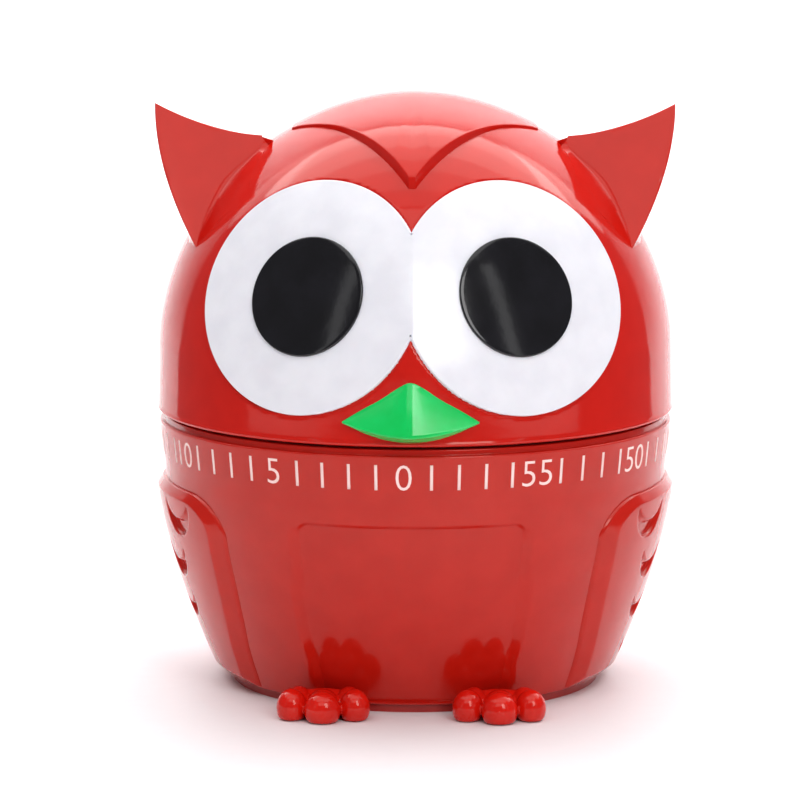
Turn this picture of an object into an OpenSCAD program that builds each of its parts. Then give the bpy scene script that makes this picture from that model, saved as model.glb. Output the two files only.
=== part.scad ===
// Mechanical sixty-minute kitchen timer in the shape of an owl.
// The upper half (head) is the winding knob; the lower half (body) holds the clockwork and the bell.
// Millimetres, +Z up, origin at the middle of the underside, the face looks along -Y.

/* [Head] */
// Largest outer radius of the head
head_radius = 31.81; // [20:0.01:60]
// Height of the widest part of the dome above the table
head_waist_z = 42; // [30:0.1:80]
// Height of the dome above its widest part
dome_height = 30.62; // [15:0.01:60]
// Height of the head's lower edge
head_lip_z = 33.9; // [25:0.1:60]
// Wall thickness of the mouldings
wall = 1.8; // [1:0.1:3]
// Height of the raised brow above the dome
brow_rise = 0.7; // [0:0.1:2]
// Half angle of the brow's V, seen from above
brow_half_angle = 40; // [25:1:60]
// Distance from the axis to the tip of the V
brow_reach = 22; // [15:0.1:28]

/* [Face] */
// Radius of each white eye disc
eye_radius = 14.4; // [8:0.1:18]
// Sideways distance of each eye's centre
eye_x = 11.7; // [8:0.1:16]
// Forward distance of each eye's centre
eye_y = 23.94; // [18:0.01:30]
// Height of each eye's centre
eye_z = 50.65; // [40:0.05:60]
// Outward turn of each eye
eye_turn = 25.85; // [0:0.05:45]
// Upward tilt of each eye
eye_tilt = 20.65; // [0:0.05:45]
// Radius of curvature of the eye's face
eye_curve = 55; // [30:1:200]
// Thickness of the eye moulding
eye_thick = 1.4; // [0.8:0.1:3]
// Radius of each pupil
pupil_radius = 7.3; // [4:0.1:12]
// Thickness of each pupil
pupil_thick = 0.35; // [0.2:0.05:1]

/* [Body] */
// Radius of the body where it meets the table
foot_radius = 23; // [15:0.1:50]
// Radius of the body where its taper ends
belly_radius = 31.15; // [20:0.01:60]
// Height at which the taper ends
taper_z = 27; // [15:0.1:40]
// Height of the body's upper lip
body_lip_z = 32.8; // [25:0.1:50]
// Radius of the body's upper lip
body_lip_radius = 31.75; // [20:0.01:60]
// Depth of the belly panel
belly_recess = 0.5; // [0.2:0.1:1]
// Thickness of the raised wings
wing_thick = 1.1; // [0.5:0.1:2]
// Thickness of the base cover
cover_thick = 1; // [0.6:0.1:2]

/* [Feet] */
// Radius of one toe
toe_radius = 1.85; // [1:0.05:3]
// Height of the foot behind its toes
instep = 3.5; // [2.5:0.1:5]

/* [Movement] */
// Radius of the movement plates
plate_radius = 23; // [18:0.1:26]
// Thickness of the movement plates
plate_thick = 1; // [0.6:0.1:2]
// Underside of the bottom plate
bottom_plate_z = 11; // [9:0.1:14]
// Underside of the top plate
top_plate_z = 24; // [20:0.1:26]
// Radius of the main arbor
arbor_radius = 2; // [1.5:0.1:3]
// Radius of the bell's mouth
bell_radius = 15; // [10:0.5:18]
// Teeth of the main wheel
main_teeth = 60; // [40:1:72]
// Teeth of the second wheel
second_teeth = 40; // [30:1:48]
// Teeth of the third wheel
third_teeth = 36; // [24:1:48]
// Leaves of each pinion
pinion_leaves = 12; // [10:1:16]
// Teeth of the escape wheel
escape_teeth = 15; // [12:1:20]
// Turns of the mainspring that lie open
spring_turns = 5; // [3:1:8]

/* [Hidden] */

$fn = 96;
red = "#b93a33";
red_bright = "#d3382f";
head_red = "#c94e41";
white = "#f5f4f9";
black = "#141318";
green = "#01ce59";
brass = "#c9a24b";
steel = "#b4b6b8";
dark_steel = "#63666b";

dome_p = 1.849;
dome_q = 2.066;
lip_flare = 0.165;
dome_steps = 16;
lip_steps = 3;
body_steps = 9;
gap = 0.05;
// a number larger than the whole object
far = 100;

// ---- profiles of revolution ----
function dome_r(z, cut = 0) = (head_radius - cut)
  * pow(max(0, 1 - pow(max(0, z - head_waist_z) / (dome_height - cut), dome_p)), 1 / dome_q);
function lip_r(z) = lip_flare * pow(max(0, head_waist_z - z) / (head_waist_z - head_lip_z), 2);
function head_profile(cut = 0, z0 = head_lip_z) = concat(
  [[0, z0]],
  [for (i = [0 : lip_steps - 1]) let (z = z0 + (head_waist_z - z0) * i / lip_steps)
    [head_radius - cut + lip_r(max(z, head_lip_z)), z]],
  [for (i = [0 : dome_steps - 1]) let (z = head_waist_z + (dome_height - cut) * sin(90 * i / dome_steps))
    [dome_r(z, cut), z]],
  [[0, head_waist_z + dome_height - cut]]);
function body_r(z) = z < taper_z
  ? belly_radius - (belly_radius - foot_radius) * pow((taper_z - z) / taper_z, 1.55)
  : belly_radius + (body_lip_radius - belly_radius) * (z - taper_z) / (body_lip_z - taper_z);
function body_side(grow, z0, z1, n) = [for (i = [0 : n]) let (z = z0 + (z1 - z0) * i / n)
  [body_r(z) + grow, z]];
function reversed(list) = [for (i = [len(list) - 1 : -1 : 0]) list[i]];

module dome(cut = 0, z0 = head_lip_z) {
  rotate_extrude() polygon(head_profile(cut, z0));
}

// solid of revolution under the body's side, from z0 to z1
module body_solid(grow, z0, z1, n = body_steps) {
  rotate_extrude() polygon(concat([[0, z0]], body_side(grow, z0, z1, n), [[0, z1]]));
}

// part of a shell that follows the body's side, between two directions seen from above
module body_band(inner, outer, z0, z1, from, to) {
  rotate([0, 0, from]) rotate_extrude(angle = to - from)
    polygon(concat(body_side(outer, z0, z1, body_steps), reversed(body_side(inner, z0, z1, body_steps))));
}

module pin(x, y, z, r, h) {
  translate([x, y, z]) cylinder(r = r, h = h, $fn = 32);
}

module ring(outer, inner, z, h) {
  translate([0, 0, z]) difference() {
    cylinder(r = outer, h = h);
    translate([0, 0, -1]) cylinder(r = inner, h = h + 2);
  }
}

// ---- body ----
cover_radius = foot_radius - 0.2;
shell_z = cover_thick + gap;
deck_z = 31;
deck_radius = 29.4;
collar_radius = 31.15;
collar_height = 0.7;
deck_seat_r = 27.9;
screw_ring = 18.6;
screw_angles = [30, 150, 270];
screw_seat = 0.6;
panel_top = 24.2;
panel_low = 3;
panel_corner = 1.6;

// one point of the belly panel's edge: half width at a height
function panel_half(z) = 10.4 + 3.5 * sin(90 * min(1, (z - panel_low) / (20 - panel_low)));
function panel_edge() = concat(
  [for (i = [0 : 6]) let (z = panel_low + (20.7 - panel_low) * i / 6) [panel_half(z), z]],
  [for (a = [0 : 30 : 90]) [panel_half(20) - panel_corner * (1 - cos(a)) - 0.02 * a / 1.5,
    panel_top - panel_corner + panel_corner * sin(a)]]);
function mirrored(list) = [for (p = reversed(list)) [-p[0], p[1]]];

module belly_cut() {
  intersection() {
    body_band(-belly_recess, 2, panel_low, panel_top, 235, 305);
    translate([0, -10, 0]) rotate([90, 0, 0])
      linear_extrude(height = far) polygon(concat(panel_edge(), mirrored(panel_edge())));
  }
}

module cover_boss(a) {
  rotate([0, 0, a]) {
    difference() {
      translate([screw_ring, 0, shell_z]) cylinder(r = 2.4, h = 5, $fn = 32);
      translate([screw_ring, 0, shell_z - 1]) cylinder(r = 1.05, h = 8, $fn = 32);
    }
    translate([screw_ring + 2, -0.6, shell_z]) cube([2.3, 1.2, 5]);
  }
}

module body_shell() {
  color(red) difference() {
    union() {
      difference() {
        body_solid(0, shell_z, body_lip_z);
        body_solid(-wall, shell_z - 1, deck_z - 1.2);
        translate([0, 0, deck_z - 2]) cylinder(r = deck_seat_r, h = 2.01);
        translate([0, 0, deck_z]) cylinder(r = deck_radius + gap, h = 5);
      }
      for (a = screw_angles) cover_boss(a);
      // low collar that half closes the gap under the head
      ring(collar_radius, deck_radius + gap, body_lip_z - 0.5, 0.5 + collar_height);
    }
    belly_cut();
    for (side = [-1, 1]) foot_tenon(side, gap);
  }
}

module base_cover() {
  color(red) difference() {
    union() {
      cylinder(r = cover_radius, h = cover_thick);
      ring(20.9, 19.9, cover_thick, 1.6);
    }
    for (a = screw_angles) rotate([0, 0, a]) {
      translate([screw_ring, 0, -1]) cylinder(r = 1.25, h = 5, $fn = 32);
      translate([screw_ring, 0, screw_seat - 2]) cylinder(r = 2.3, h = 2, $fn = 32);
      translate([screw_ring, 0, cover_thick]) cylinder(r = 2.6, h = 5, $fn = 32);
    }
    for (i = [0 : 5]) rotate([0, 0, 60 * i]) sound_slot();
  }
}

module sound_slot() {
  for (y = [-3, 3]) translate([11, y, -1]) cylinder(r = 0.7, h = 5, $fn = 24);
  translate([10.3, -3, -1]) cube([1.4, 6, 5]);
}

module screw(r, head_r, length, head_h) {
  cylinder(r = r, h = length, $fn = 32);
  translate([0, 0, -head_h]) difference() {
    cylinder(r = head_r, h = head_h, $fn = 32);
    translate([-head_r, -0.2, -1]) cube([2 * head_r, 0.4, 1.3]);
    translate([-0.2, -head_r, -1]) cube([0.4, 2 * head_r, 1.3]);
  }
}

module base_screws() {
  color(dark_steel) for (a = screw_angles) rotate([0, 0, a])
    translate([screw_ring, 0, screw_seat]) screw(1, 2, 4.5, 0.5);
}

deck_screw_ring = 20.4;
deck_screw_angles = [35, 195, 285];

module deck_ring() {
  color(red) difference() {
    union() {
      translate([0, 0, deck_z]) cylinder(r = deck_radius, h = 1.8);
      ring(29.2, 27.8, deck_z + 1.8, 2.6);
      translate([0, 0, deck_z + 1.8]) cylinder(r = 7.6, h = 0.9);
      for (a = deck_screw_angles) rotate([0, 0, a])
        translate([deck_screw_ring, 0, top_plate_z + plate_thick]) cylinder(r = 2.4, h = 6.2, $fn = 32);
    }
    translate([0, 0, deck_z - 1]) cylinder(r = 5.6, h = 8);
    for (a = deck_screw_angles) rotate([0, 0, a])
      translate([deck_screw_ring, 0, top_plate_z]) cylinder(r = 1, h = 6, $fn = 32);
  }
}

module deck_screws() {
  color(dark_steel) for (a = deck_screw_angles) rotate([0, 0, a])
    translate([deck_screw_ring, 0, top_plate_z]) screw(0.95, 1.9, 5, 0.9);
}

// side view outline of a wing, looking along X, points are [forward, height]
wing_half_low = 14.6;
wing_half_mid = 20.6;
wing_top = 25.6;
wing_low = 1.25;
function wing_half(inset) = concat(
  [[wing_half_low - inset, wing_low + inset], [16.3 - inset, 6], [17.9 - inset, 10],
    [19.4 - inset, 15], [wing_half_mid - inset, 21]],
  [for (a = [20 : 20 : 80]) [15.2 + (5.3 - inset) * cos(a), 21 + (wing_top - 21 - inset) * sin(a)]],
  [[8, wing_top + wing_drop - inset]]);
wing_drop = 0.1;
// marks: height, first direction, step, count, half width, depth of the arc
feather_rows = [[23.5, 66, 24, 3, 3.7, 2.3], [17.6, 73, 17, 3, 3.5, 2.3], [11.6, 75.5, 14.5, 3, 2.9, 1.9],
  [5.6, 81, 18, 2, 1.9, 1.3]];

module feather(half, sag) {
  difference() {
    cylinder(r = half, h = 6, $fn = 48);
    translate([0, half * 0.74, -1]) cylinder(r = half * 1.15, h = 8, $fn = 48);
  }
}

module wing(side) {
  color(red) mirror([side < 0 ? 1 : 0, 0, 0]) difference() {
    union() {
      wing_layer(0.05, wing_thick * 0.5, 0);
      wing_layer(wing_thick * 0.5, wing_thick, 0.9);
    }
    for (row = feather_rows) for (i = [0 : row[3] - 1])
      rotate([0, 0, row[1] + row[2] * i - 90])
        translate([body_r(row[0] - 1) + wing_thick - 0.55, 0, row[0]])
        rotate([90, 0, 90]) feather(row[4], row[5]);
  }
}

module wing_layer(inner, outer, inset) {
  intersection() {
    body_band(inner, outer, wing_low, wing_top + wing_drop, -45, 45);
    rotate([90, 0, 90]) linear_extrude(height = far)
      polygon(concat(wing_half(inset), mirrored(wing_half(inset))));
  }
}

module wing_right() wing(1);
module wing_left() wing(-1);

// toes: sideways place, forward place, share of the toe radius
toes = [[6.75, -27, 0.87], [10.6, -28.5, 1], [14.35, -26.8, 0.87]];

module toe(p) {
  r = toe_radius * p[2];
  translate([p[0], p[1], r + 0.1]) {
    sphere(r = r, $fn = 48);
    rotate([-90, 0, 0]) cylinder(r = r, h = 5, $fn = 48);
  }
}

module foot_tenon(side, grow) {
  translate([side * 10.6 - 2.5 - grow, -23.5, 1.6 - grow]) cube([5 + 2 * grow, 3.2 + grow, 1.8 + 2 * grow]);
}

module foot(side) {
  color(red_bright) union() {
    difference() {
      union() {
        for (p = toes) toe([side * p[0], p[1], p[2]]);
        // low instep behind the toes
        translate([side * 10.6 - 2.6, -27, 1.2]) cube([5.2, 7, instep - 1.2]);
        translate([side * 10.6 - 4.6, -26.4, 1.2]) cube([9.2, 4.4, instep - 1.5]);
      }
      body_solid(0.03, -1, 12);
    }
    foot_tenon(side, 0);
  }
}

module foot_right() foot(1);
module foot_left() foot(-1);

// ---- head ----
hub_radius = 4.5;
hub_flat = 3.6;
hub_low = 33.4;
hub_top = 44;
socket_z = 37.5;

module brow_region() {
  back = brow_reach - 15.1 / tan(brow_half_angle);
  linear_extrude(height = far) union() {
    polygon([[0, -brow_reach], [15.1, -back], [-15.1, -back]]);
    intersection() {
      translate([0, -back]) circle(r = 15.1);
      translate([-20, -back]) square([40, 40]);
    }
  }
}

module eye_place(side) {
  translate([side * eye_x, -eye_y, eye_z]) rotate([90 - eye_tilt, 0, side * eye_turn]) children();
}

eye_bulge = eye_curve - sqrt(eye_curve * eye_curve - eye_radius * eye_radius);
eye_proud = 0.2;

// curved sheet around an eye's axis: from low to high above the eye's base sphere,
// cut round about the point at
module eye_sheet(r, low, high, at = [0, 0]) {
  intersection() {
    translate([at[0], at[1], -6]) cylinder(r = r, h = 12);
    difference() {
      translate([0, 0, eye_bulge - eye_curve]) sphere(r = eye_curve + high, $fn = 128);
      translate([0, 0, eye_bulge - eye_curve]) sphere(r = eye_curve + low, $fn = 128);
    }
  }
}

module half_space(side) {
  translate([side > 0 ? 0 : -far, -far, 0]) cube([far, far, far]);
}

module eye_pocket(side) {
  intersection() {
    eye_place(side) intersection() {
      translate([0, 0, -6]) cylinder(r = eye_radius + gap, h = 14);
      difference() {
        translate([0, 0, -7]) cylinder(r = eye_radius + 1, h = 16);
        translate([0, 0, eye_bulge - eye_curve]) sphere(r = eye_curve - eye_thick - gap, $fn = 128);
      }
    }
    half_space(side);
  }
}

module head_shell() {
  color(head_red) difference() {
    union() {
      difference() {
        union() {
          dome();
          intersection() {
            dome(-brow_rise);
            brow_region();
          }
        }
        dome(wall, head_lip_z - 1);
      }
      intersection() {
        dome(0.3, 36);
        union() {
          for (side = [-1, 1]) eye_place(side) eye_sheet(eye_radius + 1.4, -eye_thick - 1.5, 0.5);
        }
      }
      intersection() {
        dome(1, 36);
        union() {
          translate([0, 0, socket_z]) cylinder(r = hub_radius + 1.8, h = 40);
          for (a = [0 : 90 : 270]) rotate([0, 0, a + 45])
            translate([hub_radius + 1, -0.7, 46]) cube([30, 1.4, 30]);
        }
      }
    }
    for (side = [-1, 1]) {
      eye_pocket(side);
      ear_peg(side, gap);
    }
    beak_peg(gap);
    intersection() {
      translate([0, 0, 36]) cylinder(r = hub_radius + 0.03, h = 9);
      translate([-far / 2, -far + hub_flat + 0.03, 30]) cube([far, far, 40]);
    }
  }
}

module eye_plate() {
  color(white) union() {
    for (side = [-1, 1]) intersection() {
      eye_place(side) eye_sheet(eye_radius, -eye_thick, eye_proud);
      half_space(side);
    }
  }
}

module pupil(side) {
  color(black) eye_place(side)
    eye_sheet(pupil_radius, eye_proud + 0.01, eye_proud + pupil_thick, [-side * 0.2, -0.35]);
}

module pupil_left() pupil(-1);
module pupil_right() pupil(1);

// ear: its front rim, the fold in its face and the line where the face meets the head,
// station by station from the crown over the tip (station 6) to the lower corner
ear_rim = [[17, -4, 66.7], [20.9, -4.2, 68.3], [23.2, -4.3, 68.7], [25.4, -4.3, 69.4], [27.6, -4.3, 70.1],
  [29.7, -4.2, 71], [31.8, -4, 72], [31.6, -5.2, 69], [31, -6.3, 66.1], [30.2, -7.4, 63.2],
  [29.1, -8.5, 60.4], [27.9, -9.4, 57.6], [26.1, -9.7, 54.2]];
ear_fold = [[16.8, -4.4, 66.2], [19.1, -4.8, 66.7], [19.9, -5.5, 65.8], [20.8, -6.1, 64.9],
  [21.7, -6.7, 64], [22.6, -7.3, 63], [23.4, -7.9, 62], [24, -8.4, 60.9], [24.7, -8.8, 59.8],
  [25.3, -9.2, 58.6], [25.8, -9.6, 57.4], [26.2, -10, 56.2], [25.8, -10.2, 54.2]];
ear_root = [[16.7, -5, 65.6], [18.7, -4.8, 66], [19.1, -7.1, 65.2], [19.6, -9.3, 64.1], [19.8, -11.5, 62.9],
  [19.8, -13.5, 61.6], [21, -12.9, 60.9], [22, -12.6, 60], [22.9, -12.3, 59.1], [23.8, -12, 58.1],
  [24.7, -11.7, 57.1], [25.5, -11.4, 56], [25.3, -10.3, 54.4]];
// from the front rim to the back rim
ear_rim_back = [0.1, 0.83, -0.34];
ear_back_high = 67.3;
ear_back_low = 54.9;

// towards the middle of the head, so that the ear's base lies inside the head
function sunk(p, share) = let (c = [0, 0, 40]) c + (p - c) * share;
// where the back of the ear meets the head, for the share t of the way along the ear
function ear_back(t) = let (a = -10 - 6 * t + 22 * pow(sin(180 * t), 0.8),
    z = ear_back_high + (ear_back_low - ear_back_high) * t, r = dome_r(z))
  [r * cos(a), r * sin(a), z];

module ear_solid() {
  n = len(ear_rim);
  m = 6;
  // around each section: front rim, fold, root, inside in front, inside behind, back rim
  points = [for (i = [0 : n - 1]) each [ear_rim[i], ear_fold[i], ear_root[i], sunk(ear_root[i], 0.95),
    sunk(ear_back(i / (n - 1)), 0.95), ear_rim[i] + ear_rim_back * (i == 0 || i == n - 1 ? 0.6 : 1)]];
  sides = [for (i = [0 : n - 2]) for (k = [0 : m - 1]) let (a = m * i + k, b = m * i + (k + 1) % m)
    each [[a, b, b + m], [a, b + m, a + m]]];
  cap0 = [for (k = [1 : m - 2]) [0, k + 1, k]];
  cap1 = [for (k = [1 : m - 2]) [m * (n - 1), m * (n - 1) + k, m * (n - 1) + k + 1]];
  polyhedron(points, [for (f = concat(sides, cap0, cap1)) reversed(f)]);
}

module ear_peg(side, grow) {
  translate([side * 19, -3.6, 61]) rotate([0, side * 90, 0])
    cylinder(r = 1.6 + grow, h = 6, $fn = 32);
}

module ear(side) {
  color(red_bright) union() {
    mirror([side < 0 ? 1 : 0, 0, 0]) difference() {
      ear_solid();
      dome(-0.02, 36);
    }
    ear_peg(side, 0);
  }
}

module ear_right() ear(1);
module ear_left() ear(-1);

// beak: four corners on the head and one raised tip
beak_top = [0, -32.15, 41.6];
beak_side = [8.1, -31.2, 36.7];
beak_tip = [0, -34.4, 35.3];
beak_low = [0, -32.15, 34.4];

module beak_peg(grow) {
  translate([0, -32.2, 37.2]) rotate([-90, 0, 0]) cylinder(r = 1.3 + grow, h = 4.2, $fn = 32);
}

module beak() {
  left = [-beak_side[0], beak_side[1], beak_side[2]];
  deep = [0, 2.4, 0];
  points = [beak_top, beak_side, beak_tip, left, beak_low,
    beak_top + deep, beak_side + deep, left + deep, beak_low + deep];
  color(green) union() {
    difference() {
      polyhedron(points, [[0, 1, 2], [0, 2, 3], [1, 4, 2], [3, 2, 4], [0, 6, 1], [0, 5, 6], [1, 8, 4],
        [1, 6, 8], [4, 7, 3], [4, 8, 7], [3, 5, 0], [3, 7, 5], [5, 8, 6], [5, 7, 8]]);
      dome(-0.02, 30);
    }
    beak_peg(0);
  }
}

// ---- turning parts on the main arbor ----
d_flat = 1.5;

module d_bar(r, flat, z, h) {
  intersection() {
    translate([0, 0, z]) cylinder(r = r, h = h, $fn = 48);
    translate([-far / 2, -far + flat, z - 1]) cube([far, far, h + 2]);
  }
}

module drive_hub() {
  color(brass) difference() {
    union() {
      d_bar(hub_radius, hub_flat, socket_z - 1, hub_top - socket_z + 1);
      translate([0, 0, hub_low]) cylinder(r = 5, h = socket_z - gap - hub_low);
    }
    d_bar(arbor_radius + 0.01, d_flat + 0.01, hub_low - 1, 9);
  }
}

arbor_low = 9.9;
module main_arbor() {
  color(steel) union() {
    translate([0, 0, arbor_low]) cylinder(r = 1.2, h = 2.5, $fn = 48);
    translate([0, 0, 12.3]) cylinder(r = 3.4, h = 4.5, $fn = 48);
    translate([0, 0, 16.8]) cylinder(r = arbor_radius, h = 8.6, $fn = 48);
    d_bar(arbor_radius, d_flat, 25, 16);
  }
}

// ---- gear teeth ----
function inv(a) = tan(a) * 180 / PI - a;
function gear_tooth(m, n, add, ded, play) = let (rp = m * n / 2, rb = rp * cos(20),
    half = 90 / n - play / rp * 90 / PI,
    radii = [rp - ded, max(rb, rp - ded) + 0.01, rp, rp + add * 0.6, rp + add])
  [for (r = radii) let (a = acos(min(1, rb / r)), at = half + inv(20) - inv(r < rb ? 0 : a)) [r, at]];
function gear_points(m, n, add, ded, play) = let (t = gear_tooth(m, n, add, ded, play))
  [for (i = [0 : n - 1]) each concat(
    [for (p = t) [p[0] * cos(360 * i / n - p[1]), p[0] * sin(360 * i / n - p[1])]],
    [for (p = reversed(t)) [p[0] * cos(360 * i / n + p[1]), p[0] * sin(360 * i / n + p[1])]])];

module gear(m, n, h, play = 0.11) {
  linear_extrude(height = h) polygon(gear_points(m, n, 0.8 * m, 1.1 * m, play));
}

module spokes(outer, inner, count, width, h) {
  for (i = [0 : count - 1]) rotate([0, 0, 360 * i / count])
    translate([0, -width / 2, 0]) cube([outer, width, h]);
}

module spoked_wheel(m, n, h, rim, hub_r, bore) {
  r = m * n / 2 - 1.1 * m - rim;
  difference() {
    union() {
      difference() {
        gear(m, n, h);
        translate([0, 0, -1]) cylinder(r = r, h = h + 2, $fn = 64);
      }
      spokes(r + 0.4, 0, 4, 1.6, h);
      cylinder(r = hub_r, h = h, $fn = 48);
    }
    translate([0, 0, -1]) cylinder(r = bore, h = h + 2, $fn = 48);
  }
}

module_a = 0.4;
module_b = 0.35;
main_r = module_a * main_teeth / 2;
pinion_a = module_a * pinion_leaves / 2;
pinion_b = module_b * pinion_leaves / 2;
second_r = module_b * second_teeth / 2;
third_r = module_b * third_teeth / 2;
// arbor places, seen from above
second_at = [0, main_r + pinion_a];
third_reach = second_r + pinion_b;
third_at = second_at + third_reach * [sin(62.5), -cos(62.5)];
escape_reach = third_r + pinion_b;
escape_turn = -20.6;
escape_at = third_at + escape_reach * [cos(escape_turn), sin(escape_turn)];
pallet_turn = -75;
pallet_at = escape_at + 6.9 * [cos(pallet_turn), sin(pallet_turn)];
hammer_at = [-9.5, 17];
lever_at = [-12.8, 1.48];
main_wheel_z = 17.4;
second_wheel_z = 20.5;
third_wheel_z = 22.3;
escape_wheel_z = 14.4;
wheel_thick = 1;

// turns a gear so that a tooth points along a direction, or a gap does
function to_tooth(direction) = direction;
function to_gap(direction, teeth) = direction + 180 / teeth;

module main_wheel() {
  color(brass) translate([0, 0, main_wheel_z]) rotate([0, 0, to_tooth(90)])
    spoked_wheel(module_a, main_teeth, wheel_thick, 1.2, 4.2, arbor_radius + 0.01);
}

module ratchet_wheel() {
  n = 16;
  color(steel) translate([0, 0, main_wheel_z + wheel_thick + 0.05]) difference() {
    linear_extrude(height = 0.8) polygon([for (i = [0 : n - 1]) each
      [[5.4 * cos(360 * i / n), 5.4 * sin(360 * i / n)],
        [4.5 * cos(360 * (i + 0.15) / n), 4.5 * sin(360 * (i + 0.15) / n)]]]);
    translate([0, 0, -1]) cylinder(r = arbor_radius + 0.01, h = 3, $fn = 48);
  }
}

module click() {
  z = main_wheel_z + wheel_thick + 0.02;
  color(steel) translate([0, 0, z]) union() {
    rotate([0, 0, -55]) translate([10.6, 0, 0]) cylinder(r = 0.7, h = 1.2, $fn = 24);
    linear_extrude(height = 0.7) polygon([[6.6, -8.4], [5.9, -9.2], [0.6, -6.3], [0.9, -5.6]]);
  }
}

module cam_disc() {
  color(steel) translate([0, 0, 25.6]) difference() {
    cylinder(r = 9, h = 0.9);
    translate([0, 0, -1]) d_bar(arbor_radius + 0.01, d_flat + 0.01, 0, 3);
    // notch that lets the lever drop at zero, wide enough for both ends of the turn
    rotate([0, 0, 140]) translate([7.1, -3.6, -1]) cube([5, 7.2, 3]);
    for (a = [0, 90, 225, 290]) rotate([0, 0, a])
      translate([5.6, 0, -1]) cylinder(r = 1.4, h = 3, $fn = 32);
  }
}

stop_reach = 10.6;
module stop_arm() {
  color(steel) translate([0, 0, 27.1]) difference() {
    union() {
      cylinder(r = 3.8, h = 1, $fn = 48);
      rotate([0, 0, stop_rest]) translate([0, -0.5, 0]) cube([11.4, 1, 1]);
    }
    translate([0, 0, -1]) d_bar(arbor_radius + 0.01, d_flat + 0.01, 0, 3);
  }
}

// the arm rests just past the post, seen turning clockwise away from it
stop_post_turn = 200;
stop_rest = stop_post_turn - 6;
module stop_post() {
  color(steel) rotate([0, 0, stop_post_turn]) pin(stop_reach, 0, top_plate_z + 0.02, 0.5, 4.4);
}

module pivot_holes(z) {
  for (p = [second_at, third_at, escape_at, pallet_at, hammer_at])
    translate([p[0], p[1], z - 1]) cylinder(r = 0.55, h = 4, $fn = 32);
}

pillar_ring = 20.4;
pillar_angles = [135, 250, 320];

module plate(z, hole) {
  difference() {
    translate([0, 0, z]) cylinder(r = plate_radius, h = plate_thick);
    translate([0, 0, z - 1]) cylinder(r = hole, h = 4, $fn = 48);
    pivot_holes(z);
    for (a = pillar_angles) rotate([0, 0, a])
      translate([pillar_ring, 0, z - 1]) cylinder(r = 1.02, h = 4, $fn = 32);
  }
}

module bottom_plate() {
  color(brass) difference() {
    plate(bottom_plate_z, 1.25);
    for (a = [225, 255, 315]) rotate([0, 0, a]) translate([13, 0, 10]) cylinder(r = 2.6, h = 4, $fn = 32);
  }
}

module top_plate() {
  color(brass) difference() {
    plate(top_plate_z, arbor_radius + 0.06);
    for (a = deck_screw_angles) rotate([0, 0, a])
      translate([deck_screw_ring, 0, 20]) cylinder(r = 1.05, h = 8, $fn = 32);
    rotate([0, 0, stop_post_turn]) translate([stop_reach, 0, 20]) cylinder(r = 0.5, h = 8, $fn = 32);
    translate([lever_at[0], lever_at[1], 20]) cylinder(r = 0.8, h = 8, $fn = 32);
    // window for the lever's catch
    translate([-14.2, 7.9, 20]) cylinder(r = 2.3, h = 8, $fn = 32);
  }
}

module plate_pillars() {
  z0 = bottom_plate_z + plate_thick;
  color(steel) for (a = pillar_angles) rotate([0, 0, a]) translate([pillar_ring, 0, 0]) {
    translate([0, 0, z0]) cylinder(r = 1.7, h = top_plate_z - z0, $fn = 32);
    translate([0, 0, bottom_plate_z - 0.8]) cylinder(r = 1, h = plate_thick + 0.8, $fn = 32);
    translate([0, 0, top_plate_z]) cylinder(r = 1, h = plate_thick + 0.8, $fn = 32);
  }
  color(steel) pin(spring_outer + spring_thick + 0.5, 0, z0, 0.5, 4.6);
}

module plate_nuts() {
  color(dark_steel) for (a = pillar_angles) rotate([0, 0, a]) translate([pillar_ring, 0, 0])
    for (z = [bottom_plate_z - 0.8, top_plate_z + plate_thick]) translate([0, 0, z]) difference() {
      cylinder(r = 1.9, h = 0.8, $fn = 6);
      translate([0, 0, -1]) cylinder(r = 1.01, h = 3, $fn = 32);
    }
}

// ---- mainspring: an open spiral ribbon, hooked to a pillar ----
spring_inner = 4.2;
spring_outer = 11.2;
spring_thick = 0.35;
function spiral(a) = spring_inner + (spring_outer - spring_inner) * a / (360 * spring_turns);
module mainspring() {
  step = 20;
  last = 360 * spring_turns;
  color(dark_steel) translate([0, 0, 12.5]) linear_extrude(height = 3.8) polygon(concat(
    [for (a = [0 : step : last]) [spiral(a) * cos(a), spiral(a) * sin(a)]],
    [for (a = [last : -step : 0]) [(spiral(a) + spring_thick) * cos(a),
      (spiral(a) + spring_thick) * sin(a)]]));
}

// ---- going train ----
module arbor(z0, z1, r = 0.9) {
  translate([0, 0, z0]) cylinder(r = 0.5, h = z1 - z0, $fn = 32);
  translate([0, 0, z0 + 1.6]) cylinder(r = r, h = z1 - z0 - 3.2, $fn = 32);
}
arbor_z0 = bottom_plate_z - 0.4;
arbor_z1 = top_plate_z + plate_thick + 0.4;

module second_wheel() {
  color(brass) translate([second_at[0], second_at[1], 0]) union() {
    arbor(arbor_z0, arbor_z1);
    translate([0, 0, main_wheel_z - 0.4]) rotate([0, 0, to_gap(270, pinion_leaves)])
      gear(module_a, pinion_leaves, wheel_thick + 0.8);
    translate([0, 0, second_wheel_z]) rotate([0, 0, to_tooth(-27.5)])
      spoked_wheel(module_b, second_teeth, 0.8, 1, 1.8, 0.4);
  }
}

module striker_star() {
  n = 6;
  color(steel) translate([second_at[0], second_at[1], 14.6]) difference() {
    linear_extrude(height = 0.8) polygon([for (i = [0 : n - 1]) each
      [[2.4 * cos(360 * i / n), 2.4 * sin(360 * i / n)],
        [1.5 * cos(360 * (i + 0.5) / n), 1.5 * sin(360 * (i + 0.5) / n)]]]);
    translate([0, 0, -1]) cylinder(r = 0.91, h = 3, $fn = 32);
  }
}

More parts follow.
